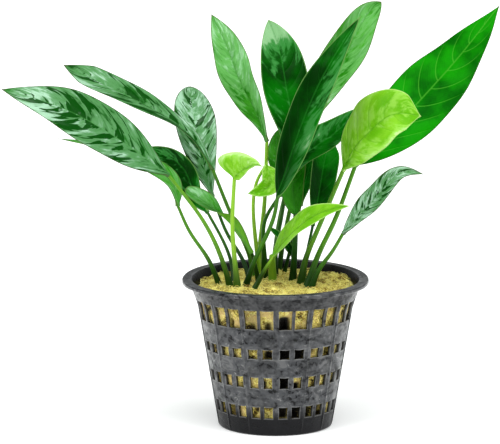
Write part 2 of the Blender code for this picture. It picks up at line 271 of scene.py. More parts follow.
class Value:
    """A number that varies over a surface; Python's operators on it add Math nodes."""

    def __init__(self, shader: "Shader", socket: bpy.types.NodeSocket) -> None:
        """Keeps the socket and the shader that it belongs to."""
        self.shader, self.socket = shader, socket

    def math(self, operation: str, *values: Any) -> "Value":
        """One Math node on the given values."""
        made = self.shader.node("ShaderNodeMath", {"operation": operation}, dict(enumerate(values)))
        return Value(self.shader, made.outputs[0])

    __add__, __radd__ = math_operator("ADD"), math_operator("ADD", True)
    __sub__, __rsub__ = math_operator("SUBTRACT"), math_operator("SUBTRACT", True)
    __mul__, __rmul__ = math_operator("MULTIPLY"), math_operator("MULTIPLY", True)
    __pow__, __rpow__ = math_operator("POWER"), math_operator("POWER", True)
    above, most = math_operator("GREATER_THAN"), math_operator("MAXIMUM")

    def __abs__(self) -> "Value":
        """The size of self."""
        return self.math("ABSOLUTE", self)

    def part(self) -> "Value":
        """What is left of self past its whole number."""
        return self.math("FRACT", self)

    def wave(self) -> "Value":
        """The sine of self."""
        return self.math("SINE", self)

    def ramp(self, low: float, high: float, start: float = 0.0, end: float = 1.0) -> "Value":
        """A soft step from start where self is low to end where self is high.

        Args:
            low: Where the step starts.
            high: Where it ends; it may be below low.
            start: The value up to low.
            end: The value past high.

        Returns:
            The stepped value.
        """
        if high < low:
            low, high, start, end = high, low, end, start
        made = self.shader.node(
            "ShaderNodeMapRange",
            {"interpolation_type": "SMOOTHSTEP"},
            {0: self, 1: low, 2: high, 3: start, 4: end},
        )
        return Value(self.shader, made.outputs[0])


class Shader:
    """A material that is built from nodes, one call for each."""

    def __init__(self, name: str) -> None:
        """Starts a material with only its output node.

        Args:
            name: The material's name.
        """
        self.material = bpy.data.materials.new(name)
        self.material.use_nodes = True
        self.tree = self.material.node_tree
        self.tree.nodes.clear()
        self.output = self.node("ShaderNodeOutputMaterial")

    def node(
        self,
        kind: str,
        settings: Optional[dict[str, Any]] = None,
        inputs: Optional[dict[Union[int, str], Any]] = None,
    ) -> bpy.types.Node:
        """Adds a node: its settings first, then the values or links of its sockets.

        Args:
            kind: The node's type.
            settings: Its own settings by name.
            inputs: For each socket, by number or name: a number, a tuple, a socket or a Value.

        Returns:
            The new node.
        """
        made = self.tree.nodes.new(kind)
        for name, setting in (settings or {}).items():
            setattr(made, name, setting)
        for key, value in (inputs or {}).items():
            socket = made.inputs[key]
            if isinstance(value, Value):
                value = value.socket
            if isinstance(value, bpy.types.NodeSocket):
                self.tree.links.new(value, socket)
            elif socket.type == "RGBA" and len(value) == 3:
                socket.default_value = (*value, 1.0)
            else:
                socket.default_value = value
        return made

    def place(self) -> bpy.types.NodeSocket:
        """The place on the piece in metres."""
        return self.node("ShaderNodeTexCoord").outputs["Object"]

    def kept(self, name: str) -> bpy.types.NodeSocket:
        """The three values that the piece keeps under a name."""
        return self.node("ShaderNodeAttribute", {"attribute_name": name}).outputs["Vector"]

    def kept_number(self, name: str) -> Value:
        """The one value that the piece keeps under a name."""
        return Value(self, self.node("ShaderNodeAttribute", {"attribute_name": name}).outputs["Fac"])

    def split(self, vector: bpy.types.NodeSocket) -> tuple[Value, Value, Value]:
        """The three parts of a vector."""
        made = self.node("ShaderNodeSeparateXYZ", None, {0: vector})
        return Value(self, made.outputs[0]), Value(self, made.outputs[1]), Value(self, made.outputs[2])

    def join(self, x: Any, y: Any, z: Any) -> bpy.types.NodeSocket:
        """A vector from three parts."""
        return self.node("ShaderNodeCombineXYZ", None, {0: x, 1: y, 2: z}).outputs[0]

    def noise(
        self,
        vector: bpy.types.NodeSocket,
        scale: float,
        detail: float = 3.0,
        rough: float = 0.55,
        bent: float = 0.0,
    ) -> Value:
        """Smooth noise between 0 and 1.

        Args:
            vector: Where it is read.
            scale: Cells for each unit of the vector.
            detail: Further octaves.
            rough: How strong they are.
            bent: How far the noise bends itself.

        Returns:
            The noise.
        """
        sockets = {"Vector": vector, "Scale": scale, "Detail": detail, "Roughness": rough, "Distortion": bent}
        return Value(self, self.node("ShaderNodeTexNoise", None, sockets).outputs["Fac"])

    def mix(self, share: Any, first: Any, second: Any, way: str = "MIX") -> bpy.types.NodeSocket:
        """Mixes two colours.

        Args:
            share: How much of the second colour there is.
            first: A colour or socket.
            second: A colour or socket.
            way: How the two are blended.

        Returns:
            The mixed colour.
        """
        settings = {"data_type": "RGBA", "blend_type": way}
        return self.node("ShaderNodeMix", settings, {0: share, 6: first, 7: second}).outputs[2]

    def bump(self, height: Value, depth: float) -> bpy.types.NodeSocket:
        """The normal over a relief whose height runs from 0 to 1, depth metres high."""
        sockets = {"Strength": 1.0, "Distance": depth, "Height": height}
        return self.node("ShaderNodeBump", None, sockets).outputs["Normal"]

    def finish(
        self, sockets: dict[str, Any], glow: Optional[Colour] = None, glow_share: float = 0.0
    ) -> bpy.types.Material:
        """Closes the material with its surface shader.

        Args:
            sockets: Values or links of the surface shader's sockets.
            glow: The colour of light that comes through from behind, if any does.
            glow_share: How much of the surface lets it through.

        Returns:
            The finished material.
        """
        surface = self.node("ShaderNodeBsdfPrincipled", None, sockets).outputs[0]
        if glow is not None:
            thin = self.node("ShaderNodeBsdfTranslucent", None, {"Color": glow}).outputs[0]
            surface = self.node("ShaderNodeMixShader", None, {0: glow_share, 1: surface, 2: thin}).outputs[0]
        self.tree.links.new(surface, self.output.inputs["Surface"])
        return self.material


# -----------------------------------------------------------------------------------------------------------
# Finishes
# -----------------------------------------------------------------------------------------------------------


@dataclass(frozen=True)
class LeafFinish:
    """A blade's skin: greens that drift over it, pale streaks of painted sheen between the veins, ribs and a
    thin margin.

    Attributes:
        name: What the finish is called.
        deep: The green in the shade between veins.
        mid: The usual green.
        haze: A dull painted sheen over the skin; also the paler veins of the lower side.
        painted_light: The colour of the painted sheen, where the skin looks to shine.
        rib: The midrib and the side veins.
        under: The lower side.
        margin: The thin edge; in the dark and young finishes it is paler, a painted rim highlight.
        glow: The colour of light that comes through the blade.
        glow_share: How much of it comes through.
        veins: Side veins on each half.
        vein_show: How much the veins stand out.
        gloss: Roughness of the skin outside the sheen.
        streaks: How much of the painted sheen is broken by dark streaks.
        shine: How strongly the skin mirrors outside the sheen.
    """

    name: str
    deep: Colour
    mid: Colour
    haze: Colour
    painted_light: Colour
    rib: Colour
    under: Colour
    margin: Colour
    glow: Colour
    glow_share: float
    veins: float = 9.0
    vein_show: float = 0.3
    gloss: float = 0.36
    streaks: float = 0.0
    shine: float = 0.15

    def material(self) -> bpy.types.Material:
        """Builds the material.

        Side veins leave the midrib and bend towards the tip: along each, the share along the blade less
        0.19 * across^1.5 stays the same. Streaks are noise on that same pair of directions, so they run with
        the veins.

        Returns:
            The finished material.
        """
        s = Shader(self.name)
        across, along, under = s.split(s.kept("leaf_place"))
        rib_gap, edge_gap, painted_light = s.split(s.kept("leaf_reach"))
        dusk = s.kept_number("leaf_dusk")
        place = s.place()
        half = abs(across)
        side = across.above(0.0)
        count = (along - half**VEIN_BEND * VEIN_RISE) * self.veins + side * VEIN_STAGGER
        off_vein = abs(count.part() - 0.5) * 2.0
        vein = off_vein.ramp(0.90, 0.99) * half.ramp(1.0, 0.6) * along.ramp(0.0, 0.1)
        rib = rib_gap.ramp(0.36, 0.1)
        fine = (count * 44.0).wave() * 0.5 + 0.5
        streak = s.noise(s.join(half * 2.0 + side * 7.0, count * 1.7, along * 0.8), 1.0, 3.5, 0.6, 0.35)
        cut = s.noise(s.join(half * 1.6 + side * 3.0, count * 2.3, along * 0.6), 1.0, 2.5, 0.5, 0.5)
        blotch = s.noise(place, 130.0, 3.0, 0.55)
        speck = s.noise(place, 900.0, 2.0, 0.6)
        drift = s.noise(place, 60.0, 2.0, 0.5)

        # Painted sheen: the leaf's level and patches, streaked along the veins, give a dull haze and then
        # pale patches of painted reflection.
        level = painted_light + (streak - 0.5) * 1.5 + (blotch - 0.5) * 0.5 + (speck - 0.5) * 0.12
        sheen_film, sheen_pool = level.ramp(0.44, 0.60), level.ramp(0.26, 0.80)
        green = drift * 0.6 + blotch * 0.4 + (fine - 0.5) * 0.015
        skin = s.mix(green.ramp(0.40, 0.60), self.deep, self.mid)
        skin = s.mix(level.ramp(0.02, 0.26) * 0.95, skin, self.haze)
        skin = s.mix(vein * self.vein_show, skin, self.rib)
        skin = s.mix(sheen_film * 0.3 + sheen_pool * 0.55, skin, self.painted_light)
        # Dark streaks break the painted sheen where its reflection stops.
        sheen_break = (cut + dusk * 0.14).ramp(0.555, 0.59) * painted_light.ramp(0.0, 0.25)
        skin = s.mix(sheen_break * self.streaks, skin, self.deep)
        # Painted shade: under the dark patches the skin turns to a dim copy of its deep green.
        skin = s.mix(dusk * (0.92 - 0.9 * self.streaks), skin, tuple(0.22 * part for part in self.deep))
        skin = s.mix(rib * (0.25 + 0.5 * self.vein_show), skin, self.rib)
        skin = s.mix(under * 0.85, skin, self.under)
        skin = s.mix(under * vein.most(rib) * 0.5, skin, self.haze)
        # The thin edge and the tip: their own colour, paler in the dark and young finishes as a painted rim
        # highlight.
        skin = s.mix(edge_gap.ramp(0.42, 0.12) * 0.7, skin, self.margin)
        skin = s.mix(along.ramp(0.972, 0.992) * 0.7, skin, self.margin)
        relief = off_vein.ramp(0.7, 1.0) * -0.35 + rib * -0.4 + fine * 0.02
        relief = relief + blotch * 0.35 + speck * 0.08 + 1.0
        dull = sheen_film * -0.14 + (speck - 0.5) * 0.12 + under * 0.2 + self.gloss
        return s.finish(
            {
                "Base Color": skin,
                "Roughness": dull.most(0.12),
                "Normal": s.bump(relief, 0.0002),
                "Specular IOR Level": self.shine,
                "Coat Weight": sheen_film * 0.3,
                "Coat Roughness": 0.14,
            },
            self.glow,
            self.glow_share,
        )


class Green(Enum):
    """The finishes that blades have, from the oldest leaves to the newest."""

    DARK = LeafFinish(
        "dark leaf", deep=(0.0004, 0.032, 0.0004), mid=(0.0012, 0.125, 0.0012), haze=(0.030, 0.20, 0.034),
        painted_light=(0.21, 0.43, 0.19), rib=(0.02, 0.22, 0.02), under=(0.03, 0.17, 0.03), margin=(0.15, 0.33, 0.08),
        glow=(0.02, 0.30, 0.01), glow_share=0.03, veins=8.0, vein_show=0.10, shine=0.03,
    )
    DEWY = LeafFinish(
        "dewy leaf", deep=(0.0004, 0.055, 0.0004), mid=(0.020, 0.165, 0.018), haze=(0.080, 0.250, 0.080),
        painted_light=(0.40, 0.65, 0.46), rib=(0.07, 0.30, 0.06), under=(0.05, 0.25, 0.03), margin=(0.07, 0.09, 0.03),
        glow=(0.03, 0.40, 0.01), glow_share=0.04, vein_show=0.08, gloss=0.30, streaks=0.97, shine=0.03,
    )
    GROWN = LeafFinish(
        "grown leaf", deep=(0.008, 0.15, 0.001), mid=(0.050, 0.30, 0.018), haze=(0.11, 0.37, 0.08),
        painted_light=(0.30, 0.60, 0.30), rib=(0.045, 0.24, 0.025), under=(0.15, 0.43, 0.025),
        margin=(0.09, 0.14, 0.035), glow=(0.10, 0.55, 0.02), glow_share=0.06, veins=8.0, vein_show=0.45,
        gloss=0.34, streaks=0.3, shine=0.03,
    )
    BRIGHT = LeafFinish(
        "bright leaf", deep=(0.0003, 0.095, 0.0003), mid=(0.005, 0.255, 0.001), haze=(0.03, 0.30, 0.006),
        painted_light=(0.16, 0.50, 0.12), rib=(0.07, 0.40, 0.025), under=(0.06, 0.30, 0.02), margin=(0.03, 0.12, 0.005),
        glow=(0.03, 0.50, 0.005), glow_share=0.05, vein_show=0.5, gloss=0.42, shine=0.02,
    )
    YOUNG = LeafFinish(
        "young leaf", deep=(0.11, 0.41, 0.001), mid=(0.22, 0.56, 0.02), haze=(0.28, 0.62, 0.06),
        painted_light=(0.50, 0.80, 0.27), rib=(0.07, 0.31, 0.006), under=(0.20, 0.52, 0.03), margin=(0.50, 0.75, 0.22),
        glow=(0.30, 0.75, 0.02), glow_share=0.12, veins=6.0, vein_show=0.35, streaks=0.15, shine=0.06,
    )


@dataclass(frozen=True)
class StalkFinish:
    """A stalk's skin: dark to lime by the stalk's own tone, darker at the foot, with fine lines along it."""

    name: str = "stalk"
    dark: Colour = (0.006, 0.075, 0.002)
    mid: Colour = (0.075, 0.25, 0.012)
    lime: Colour = (0.26, 0.53, 0.03)
    foot: Colour = (0.002, 0.022, 0.001)
    brown: Colour = (0.20, 0.13, 0.03)
    glow: Colour = (0.25, 0.6, 0.04)
    glow_share: float = 0.06

    def material(self) -> bpy.types.Material:
        """Builds the material from the share along the stalk, the turn round it and the stalk's tone.

        Returns:
            The finished material.
        """
        s = Shader(self.name)
        along, turn, tone = s.split(s.kept("stalk_place"))
        shade = s.kept_number("stalk_shade")
        place = s.place()
        line = s.noise(s.join(turn * 9.0, along * 1.5, tone), 1.0, 3.0, 0.6)
        blotch = s.noise(place, 240.0, 3.0, 0.6)
        young = tone + (line - 0.5) * 0.35 + (blotch - 0.5) * 0.25
        skin = s.mix(young.ramp(0.0, 0.55), self.dark, self.mid)
        skin = s.mix(young.ramp(0.45, 1.0), skin, self.lime)
        skin = s.mix(shade, skin, self.foot)
        skin = s.mix((blotch * 0.5 + line * 0.5).ramp(0.58, 0.72) * 0.2, skin, self.brown)
        return s.finish(
            {
                "Base Color": skin,
                "Roughness": line * 0.2 + 0.24,
                "Normal": s.bump(line * 0.7 + blotch * 0.3, 0.00012),
                "Specular IOR Level": 0.18,
            },
            self.glow,
            self.glow_share,
        )


@dataclass(frozen=True)
class PlasticFinish:
    """Black moulded plastic, handled and watered: scuffs, water marks, worn slot edges and painted light.

    Attributes:
        name: What the finish is called.
        black: The plastic as it was moulded.
        worn: Where it is dulled by handling.
        mark: Dried water marks and worn slot edges, both partly painted highlights.
        smudge: Smears of dried dirt.
        painted_light: Painted shade on the band round the foot.
        fleck: Small dark flecks.
        under_rim_shade: Painted shade on the band under the rim.
        shade: Painted shade on the inside of the wall.
    """

    name: str = "pot plastic"
    black: Colour = (0.022, 0.023, 0.025)
    worn: Colour = (0.040, 0.042, 0.046)
    mark: Colour = (0.26, 0.26, 0.25)
    smudge: Colour = (0.13, 0.13, 0.13)
    painted_light: Colour = (0.004, 0.004, 0.005)
    fleck: Colour = (0.003, 0.003, 0.003)
    under_rim_shade: Colour = (0.008, 0.008, 0.009)
    shade: Colour = (0.002, 0.002, 0.002)

    def material(self) -> bpy.types.Material:
        """Builds the material on the piece's own place and on how near its slot edges are.

        Returns:
            The finished material.
        """
        s = Shader(self.name)
        place = s.place()
        x, y, z = s.split(place)
        lip, inside = s.kept_number("pot_lip_wear_and_glint"), s.kept_number("pot_inside_shade")
        cast = s.noise(place, 95.0, 6.0, 0.62, 0.5)
        smear = s.noise(s.join(x, y, z * 0.35), 240.0, 4.0, 0.62, 0.6)
        grit = s.noise(place, 2600.0, 2.0, 0.6)
        drop = s.noise(place, 640.0, 3.0, 0.55, 0.8)
        smudge = s.noise(s.join(x, y, z * 1.9), 190.0, 3.0, 0.6, 1.1)
        foot = z.ramp(0.0085, 0.0048)
        scuff = cast * 0.4 + smear * 0.2 + smudge * 0.15 + drop * 0.25
        dried = (drop * 0.7 + grit * 0.3).ramp(0.58, 0.68) * cast.ramp(0.44, 0.56)
        under_rim_shade = z.ramp(0.0383, 0.0390) * z.ramp(0.0430, 0.0424)
        skin = s.mix(scuff.ramp(0.435, 0.545), self.black, self.worn)
        # Dried water marks, with bright flecks that are painted glints.
        skin = s.mix(dried * 0.55, skin, self.mark)
        skin = s.mix(smudge.ramp(0.60, 0.66) * 0.35, skin, self.smudge)
        # Painted shade: the band round the foot is darkened.
        skin = s.mix(foot * 0.95, skin, self.painted_light)
        # Slot edges: paler with wear and with a painted edge highlight.
        skin = s.mix(lip * (grit * 0.6 + 0.35) * 0.75, skin, self.mark)
        skin = s.mix((drop * 0.6 + smudge * 0.4).ramp(0.42, 0.395) * 0.9, skin, self.fleck)
        # Painted shade on the band under the rim's overhang.
        skin = s.mix(under_rim_shade * 0.7, skin, self.under_rim_shade)
        # Painted shade on the inside of the wall.
        skin = s.mix(inside * 0.95, skin, self.shade)
        shine = (smudge - 0.5) * 2.5 + (drop - 0.5) * 2.0 + 0.5 - inside * 3.0 - foot * 1.3
        return s.finish(
            {
                "Base Color": skin,
                "Roughness": (smudge - 0.5) * 0.5 + (smear - 0.5) * 0.3 + (grit - 0.5) * 0.12 + 0.33,
                "Normal": s.bump(cast * 0.5 + smear * 0.3 + grit * 0.12 + drop * 0.15, 0.0004),
                "Specular IOR Level": 0.15,
                "Coat Weight": shine.ramp(0.0, 1.0),
                "Coat Roughness": 0.18,
            }
        )


@dataclass(frozen=True)
class WoolFinish:
    """Stone wool: matted golden fibres, pale where they stand up, brown in gaps, painted shade in hollows."""

    name: str = "stone wool"
    pale: Colour = (1.0, 0.98, 0.31)
    gold: Colour = (0.98, 0.78, 0.10)
    brown: Colour = (0.25, 0.16, 0.02)
    rust: Colour = (0.58, 0.36, 0.15)
    painted_shade: Colour = (0.012, 0.009, 0.005)

    def material(self) -> bpy.types.Material:
        """Builds the material on the piece's own place and on the painted shade of its hollows and crevices.

        Returns:
            The finished material.
        """
        s = Shader(self.name)
        place = s.place()
        hollow = s.kept_number("wool_hollow")
        clump = s.noise(place, 260.0, 3.0, 0.6, 0.5)
        fibre = s.noise(place, 1100.0, 3.0, 0.65, 1.6)
        speck = s.noise(place, 3200.0, 2.0, 0.6)
        skin = s.mix((clump * 0.65 + fibre * 0.35).ramp(0.40, 0.54), self.brown, self.gold)
        skin = s.mix((clump * 0.45 + fibre * 0.4 + speck * 0.15).ramp(0.45, 0.54), skin, self.pale)
        buried = s.split(place)[2].ramp(0.0405, 0.0380)
        skin = s.mix((buried * 0.6 + 0.2) * (clump * 0.6 + speck * 0.4).ramp(0.44, 0.58), skin, self.rust)
        # Painted shade in crevices of the side, then in the hollows and crevices kept on the piece.
        skin = s.mix(buried * (fibre * 0.3 + clump * 0.7).ramp(0.45, 0.38) * 0.85, skin, self.painted_shade)
        skin = s.mix(hollow, skin, self.painted_shade)
        return s.finish(
            {
                "Base Color": skin,
                "Roughness": 0.95,
                "Normal": s.bump(fibre * 0.6 + speck * 0.25 + clump * 0.4, 0.0005),
                "Specular IOR Level": 0.2,
                "Sheen Weight": 0.12,
            }
        )


@dataclass(frozen=True)
class RootstockFinish:
    """Creeping rootstock: olive to brown bark with paler rings where old leaves stood."""

    name: str = "rootstock"
    olive: Colour = (0.05, 0.085, 0.015)
    brown: Colour = (0.11, 0.065, 0.02)
    ring: Colour = (0.20, 0.19, 0.06)

    def material(self) -> bpy.types.Material:
        """Builds the material on the piece's own place and on its rings.

        Returns:
            The finished material.
        """
        s = Shader(self.name)
        place = s.place()
        ring = s.kept_number("ring")
        bark = s.noise(place, 420.0, 4.0, 0.65, 0.8)
        grain = s.noise(place, 1600.0, 2.0, 0.6)
        skin = s.mix(bark.ramp(0.38, 0.62), self.olive, self.brown)
        skin = s.mix(ring * (grain * 0.6 + 0.2), skin, self.ring)
        return s.finish(
            {
                "Base Color": skin,
                "Roughness": bark * 0.3 + 0.5,
                "Normal": s.bump(bark * 0.6 + grain * 0.4, 0.0005),
                "Specular IOR Level": 0.35,
            }
        )


# -----------------------------------------------------------------------------------------------------------
# The pot
# -----------------------------------------------------------------------------------------------------------


@dataclass(frozen=True)
class SlotRow:
    """A row of slots in the wall: its lower and upper edge, a slot's width and how far its sides pinch."""

    bottom: float
    top: float
    width: float
    pinch: float


@dataclass
class NetPot:
    """The slotted nursery pot, moulded in one piece.

    Attributes:
        height: From the floor to the top of the rim.
        rim_radius: Outside of the flat rim.
        mouth_radius: Inside of the rim.
        base_radius: Outside of the foot.
        wall: Thickness of the wall.
        base: Thickness of the base.
        panels: Panels round the wall; each carries a pair of slots in every row.
        pair_shift: Degrees by which the slots of a pair sit closer together.
        rows: The rows of slots, from the lowest.
        ridge: How far the thin rib between two panels stands proud.
        warp: How far the back of the rim has lifted.
        drain: How wide a drain slot in the base is, in degrees.
        worn_edge: How far the sharp edges are broken.
    """

    height: float = 43.5
    rim_radius: float = 27.5
    mouth_radius: float = 24.5
    base_radius: float = 16.8
    wall: float = 0.85
    base: float = 1.2
    panels: int = 14
    pair_shift: float = 0.46
    rows: tuple[SlotRow, ...] = (
        SlotRow(5.3, 8.9, 2.65, 0.05),
        SlotRow(14.5, 18.0, 2.65, 0.08),
        SlotRow(23.5, 26.5, 3.1, 0.10),
        SlotRow(32.5, 38.4, 3.95, 0.03),
    )
    ridge: float = 0.24
    warp: float = 1.2
    drain: float = 7.0
    worn_edge: float = 0.11

    def wall_radius(self, height: Any) -> Array:
        """The outer radius of the wall at a height: straight runs between four breaks."""
        return np.interp(height, (0.0, 36.0, 40.0, 42.2), (self.base_radius, 22.9, 24.2, 24.6))

    def slot_angle(self, column: Any) -> Array:
        """The middle of a slot column: even columns shift one way and odd ones the other, into pairs.

        Args:
            column: Its number, counted from the front to the right.

        Returns:
            Degrees round the pot.
        """
        column = np.asarray(column)
        shift = np.where(column % 2, -self.pair_shift, self.pair_shift)
        return (column + 0.5) * 180.0 / self.panels + shift - 90.0

    def levels(self) -> Array:
        """The rings of the pot from the middle of the base to the rim.

        The foot and the heel inside it are quarter circles; up each slot row, share s, the slots pinch as
        1 - (2s - 1)^2.

        Returns:
            One row for each ring: radius and height outside, radius and height inside, the slot width in
            degrees, the slot row that it belongs to and its share up that row, or -1 and -1.
        """
        rings: list[tuple[float, ...]] = []
        for radius in (4.0, 7.2, 10.4, 13.5):
            rings.append((radius, 0.0, radius, self.base, self.drain, -1, -1))
        for turn in np.radians((0, 22, 45, 68, 90)):
            out, up = 0.95 * math.sin(turn), 0.8 - 0.8 * math.cos(turn)
            foot, heel = self.base_radius - 0.8 + out, self.base_radius - 2.0 + out
            rings.append((foot, up, heel, self.base + up, self.drain, -1, -1))
        last = 2.4
        for at, slots in enumerate(self.rows):
            middle = (slots.bottom + slots.top) / 2
            degrees = math.degrees(slots.width / float(self.wall_radius(middle)))
            for z in np.linspace(last, slots.bottom - 0.25, 5):
                outside = float(self.wall_radius(z))
                rings.append((outside, z, outside - self.wall, z, degrees, -1, -1))
            for share in np.linspace(0, 1, 9):
                z = slots.bottom + share * (slots.top - slots.bottom)
                outside = float(self.wall_radius(z))
                pinched = degrees * (1 - slots.pinch * (1 - (2 * share - 1) ** 2))
                rings.append((outside, z, outside - self.wall, z, pinched, at, share))
            last = slots.top + 0.25
        for z in (38.55, 39.3, 40.0, 40.8, 41.6):
            outside = float(self.wall_radius(z))
            proud = 0.12 * float(smooth(38.5, 39.0, np.float64(z)))
            rings.append((outside + proud, z, outside - self.wall, z, degrees, -1, -1))
        rim, mouth, top, under = self.rim_radius, self.mouth_radius, self.height, self.height - 1.2
        lip = (
            (24.95, under - 0.05, 24.15, 42.4),
            (25.6, under + 0.02, mouth - 0.05, top - 0.35),
            (rim - 0.25, under + 0.05, mouth + 0.2, top),
            (rim - 0.04, under + 0.25, mouth + 1.3, top - 0.12),
            (rim, under + 0.6, rim - 0.45, top - 0.08),
            (rim, top - 0.3, rim - 0.2, top),
        )
        rings += [(*ring, degrees, -1, -1) for ring in lip]
        return np.array(rings, float)

    def form(self) -> Form:
        """The pot as two skins on one grid, joined through every slot and round the rim.

        A column of the grid lies in a slot or in the bar after it. A slot runs from its middle less half its
        width to its middle plus half its width; the bar fills the gap to the next slot. The rib between two
        panels is a bell curve on the middle of every second bar.

        Returns:
            The closed form, with the nearness of slot edges kept at its corners.
        """
        levels = self.levels()
        outer, inner, (width, row, share) = levels[:, :2], levels[:, 2:4], levels[:, 4:].T
        slots = 2 * self.panels
        cuts = np.linspace(-1, 1, 5)[:-1]
        bars = np.array((0, 0.12, 0.27, 0.39, 0.45, 0.5, 0.55, 0.61, 0.73, 0.88))
        columns = len(cuts) + len(bars)

        # The angle of every corner: first across the slot, then across the bar after it.
        middle, after = self.slot_angle(np.arange(slots)), self.slot_angle(np.arange(slots) + 1)
        after[-1] = middle[0] + 360.0
        half = width[:, None, None] / 2
        start, end = middle[None, :, None] + half, after[None, :, None] - half
        angle = np.concatenate([middle[None, :, None] + half * cuts, start + (end - start) * bars], -1)
        radians = np.radians(angle)

        # The rib on every second bar, and the slight bow of a slot's lower and upper edge.
        ribbed = np.zeros((slots, columns))
        ribbed[1::2, len(cuts):] = 1.0
        gap = (angle - (middle + after)[None, :, None] / 2) * np.pi / 180 * outer[:, 0][:, None, None]
        heights = outer[:, 1][:, None, None]
        rib = self.ridge * ribbed * bell(gap, 0.3) * smooth(1.0, 2.2, heights) * smooth(39.2, 38.4, heights)
        bow = 0.14 * (1.0 * (share == 0) - 1.0 * (share == 1))
        lift = bow[:, None, None] * np.concatenate([1 - cuts**2, np.zeros(len(bars))])
        skins = []
        for ring, proud in ((outer, rib), (inner, 0.0 * rib)):
            radius = ring[:, 0][:, None, None] + proud
            level = ring[:, 1][:, None, None] + lift
            level = level + self.warp * smooth(38.4, 43.5, level) * smooth(-0.4, 1.0, np.sin(radians))
            spot = np.stack([radius * np.cos(radians), radius * np.sin(radians), level], -1)
            skins.append(spot.reshape(-1, 3))
        corners = np.concatenate([*skins, [(0, 0, 0), (0, 0, self.base)]])

        # Both skins carry the same grid of corner numbers, total apart, and leave out the faces in the slots.
        total = len(outer) * slots * columns
        first = np.arange(total).reshape(len(outer), slots * columns)
        grid = np.concatenate([first, first[:, :1]], 1)
        is_cut = np.tile(np.arange(columns) < len(cuts), slots)
        hole = ((row[:-1] >= 0) & (row[1:] == row[:-1]))[:, None] & is_cut[None, :]
        hole[0:3] = np.repeat(np.arange(slots) % 2 == 0, columns) & is_cut
        solid = ~hole
        p, q, r, s = grid[:-1, :-1], grid[:-1, 1:], grid[1:, 1:], grid[1:, :-1]
        faces = np.stack([p, q, r, s], -1)[solid].tolist()
        faces += (np.stack([p, s, r, q], -1)[solid] + total).tolist()

        # Narrow faces join the two skins round every slot and round the rim.
        edge_row = np.ones((1, hole.shape[1]), bool)
        below = np.concatenate([edge_row, solid[:-1]]) & hole
        above = np.concatenate([solid[1:], edge_row]) & hole
        left, right = np.roll(solid, 1, axis=1) & hole, np.roll(solid, -1, axis=1) & hole
        rim = np.ones(hole.shape[1], bool)
        joins = [(below, p, q), (above, r, s), (right, q, r), (left, s, p)]
        joins.append((rim, grid[-1, 1:], grid[-1, :-1]))
        for where, one, two in joins:
            one, two = one[where], two[where]
            faces += np.stack([one, one + total, two + total, two], -1).tolist()
        faces += fan(2 * total, first[0][::-1]) + fan(2 * total + 1, first[0] + total)

        # Nearness of slot edges, for wear and a painted edge highlight.
        near = np.zeros((len(outer), slots, columns))
        near[row >= 0, :, 0] = near[row >= 0, :, len(cuts)] = 1.0
        near[(share == 0) | (share == 1), :, : len(cuts) + 1] = 1.0
        near = np.concatenate([near.ravel(), 0.4 * near.ravel(), [0.0, 0.0]])
        # Where painted shade falls: the inside of the wall.
        inward = np.repeat(smooth(43.5, 43.0, inner[:, 1]), slots * columns)
        inward = np.concatenate([0 * inward, inward, [0.0, 1.0]])
        return Form(corners, faces, {"pot_lip_wear_and_glint": near[:, None], "pot_inside_shade": inward[:, None]})

    def build(self) -> bpy.types.Object:
        """Builds the pot with slightly broken edges and dresses it.

        Returns:
            The pot.
        """
        pot = self.form().piece("net_pot_moulding", PlasticFinish().material(), "net_pot")
        pot.data.set_sharp_from_angle(angle=math.radians(38))
        edges = pot.modifiers.new("broken edges", "BEVEL")
        edges.width, edges.segments, edges.limit_method = self.worn_edge * MM, 2, "ANGLE"
        edges.angle_limit = math.radians(48)
        edges.harden_normals = False
        return pot


# -----------------------------------------------------------------------------------------------------------
# The wool
# -----------------------------------------------------------------------------------------------------------


@dataclass(frozen=True)
class Hollow:
    """A place where the wool stands back from the pot's wall.

    Attributes:
        column: Its slot column, which may lie between two.
        row: Its slot row, from the lowest.
        depth: How deep it is.
        wide: Its width in slots.
        up: How far it sits above the slot's middle, in half heights of the slot.
    """

    column: float
    row: int
    depth: float = 3.0
    wide: float = 1.0
    up: float = 0.0


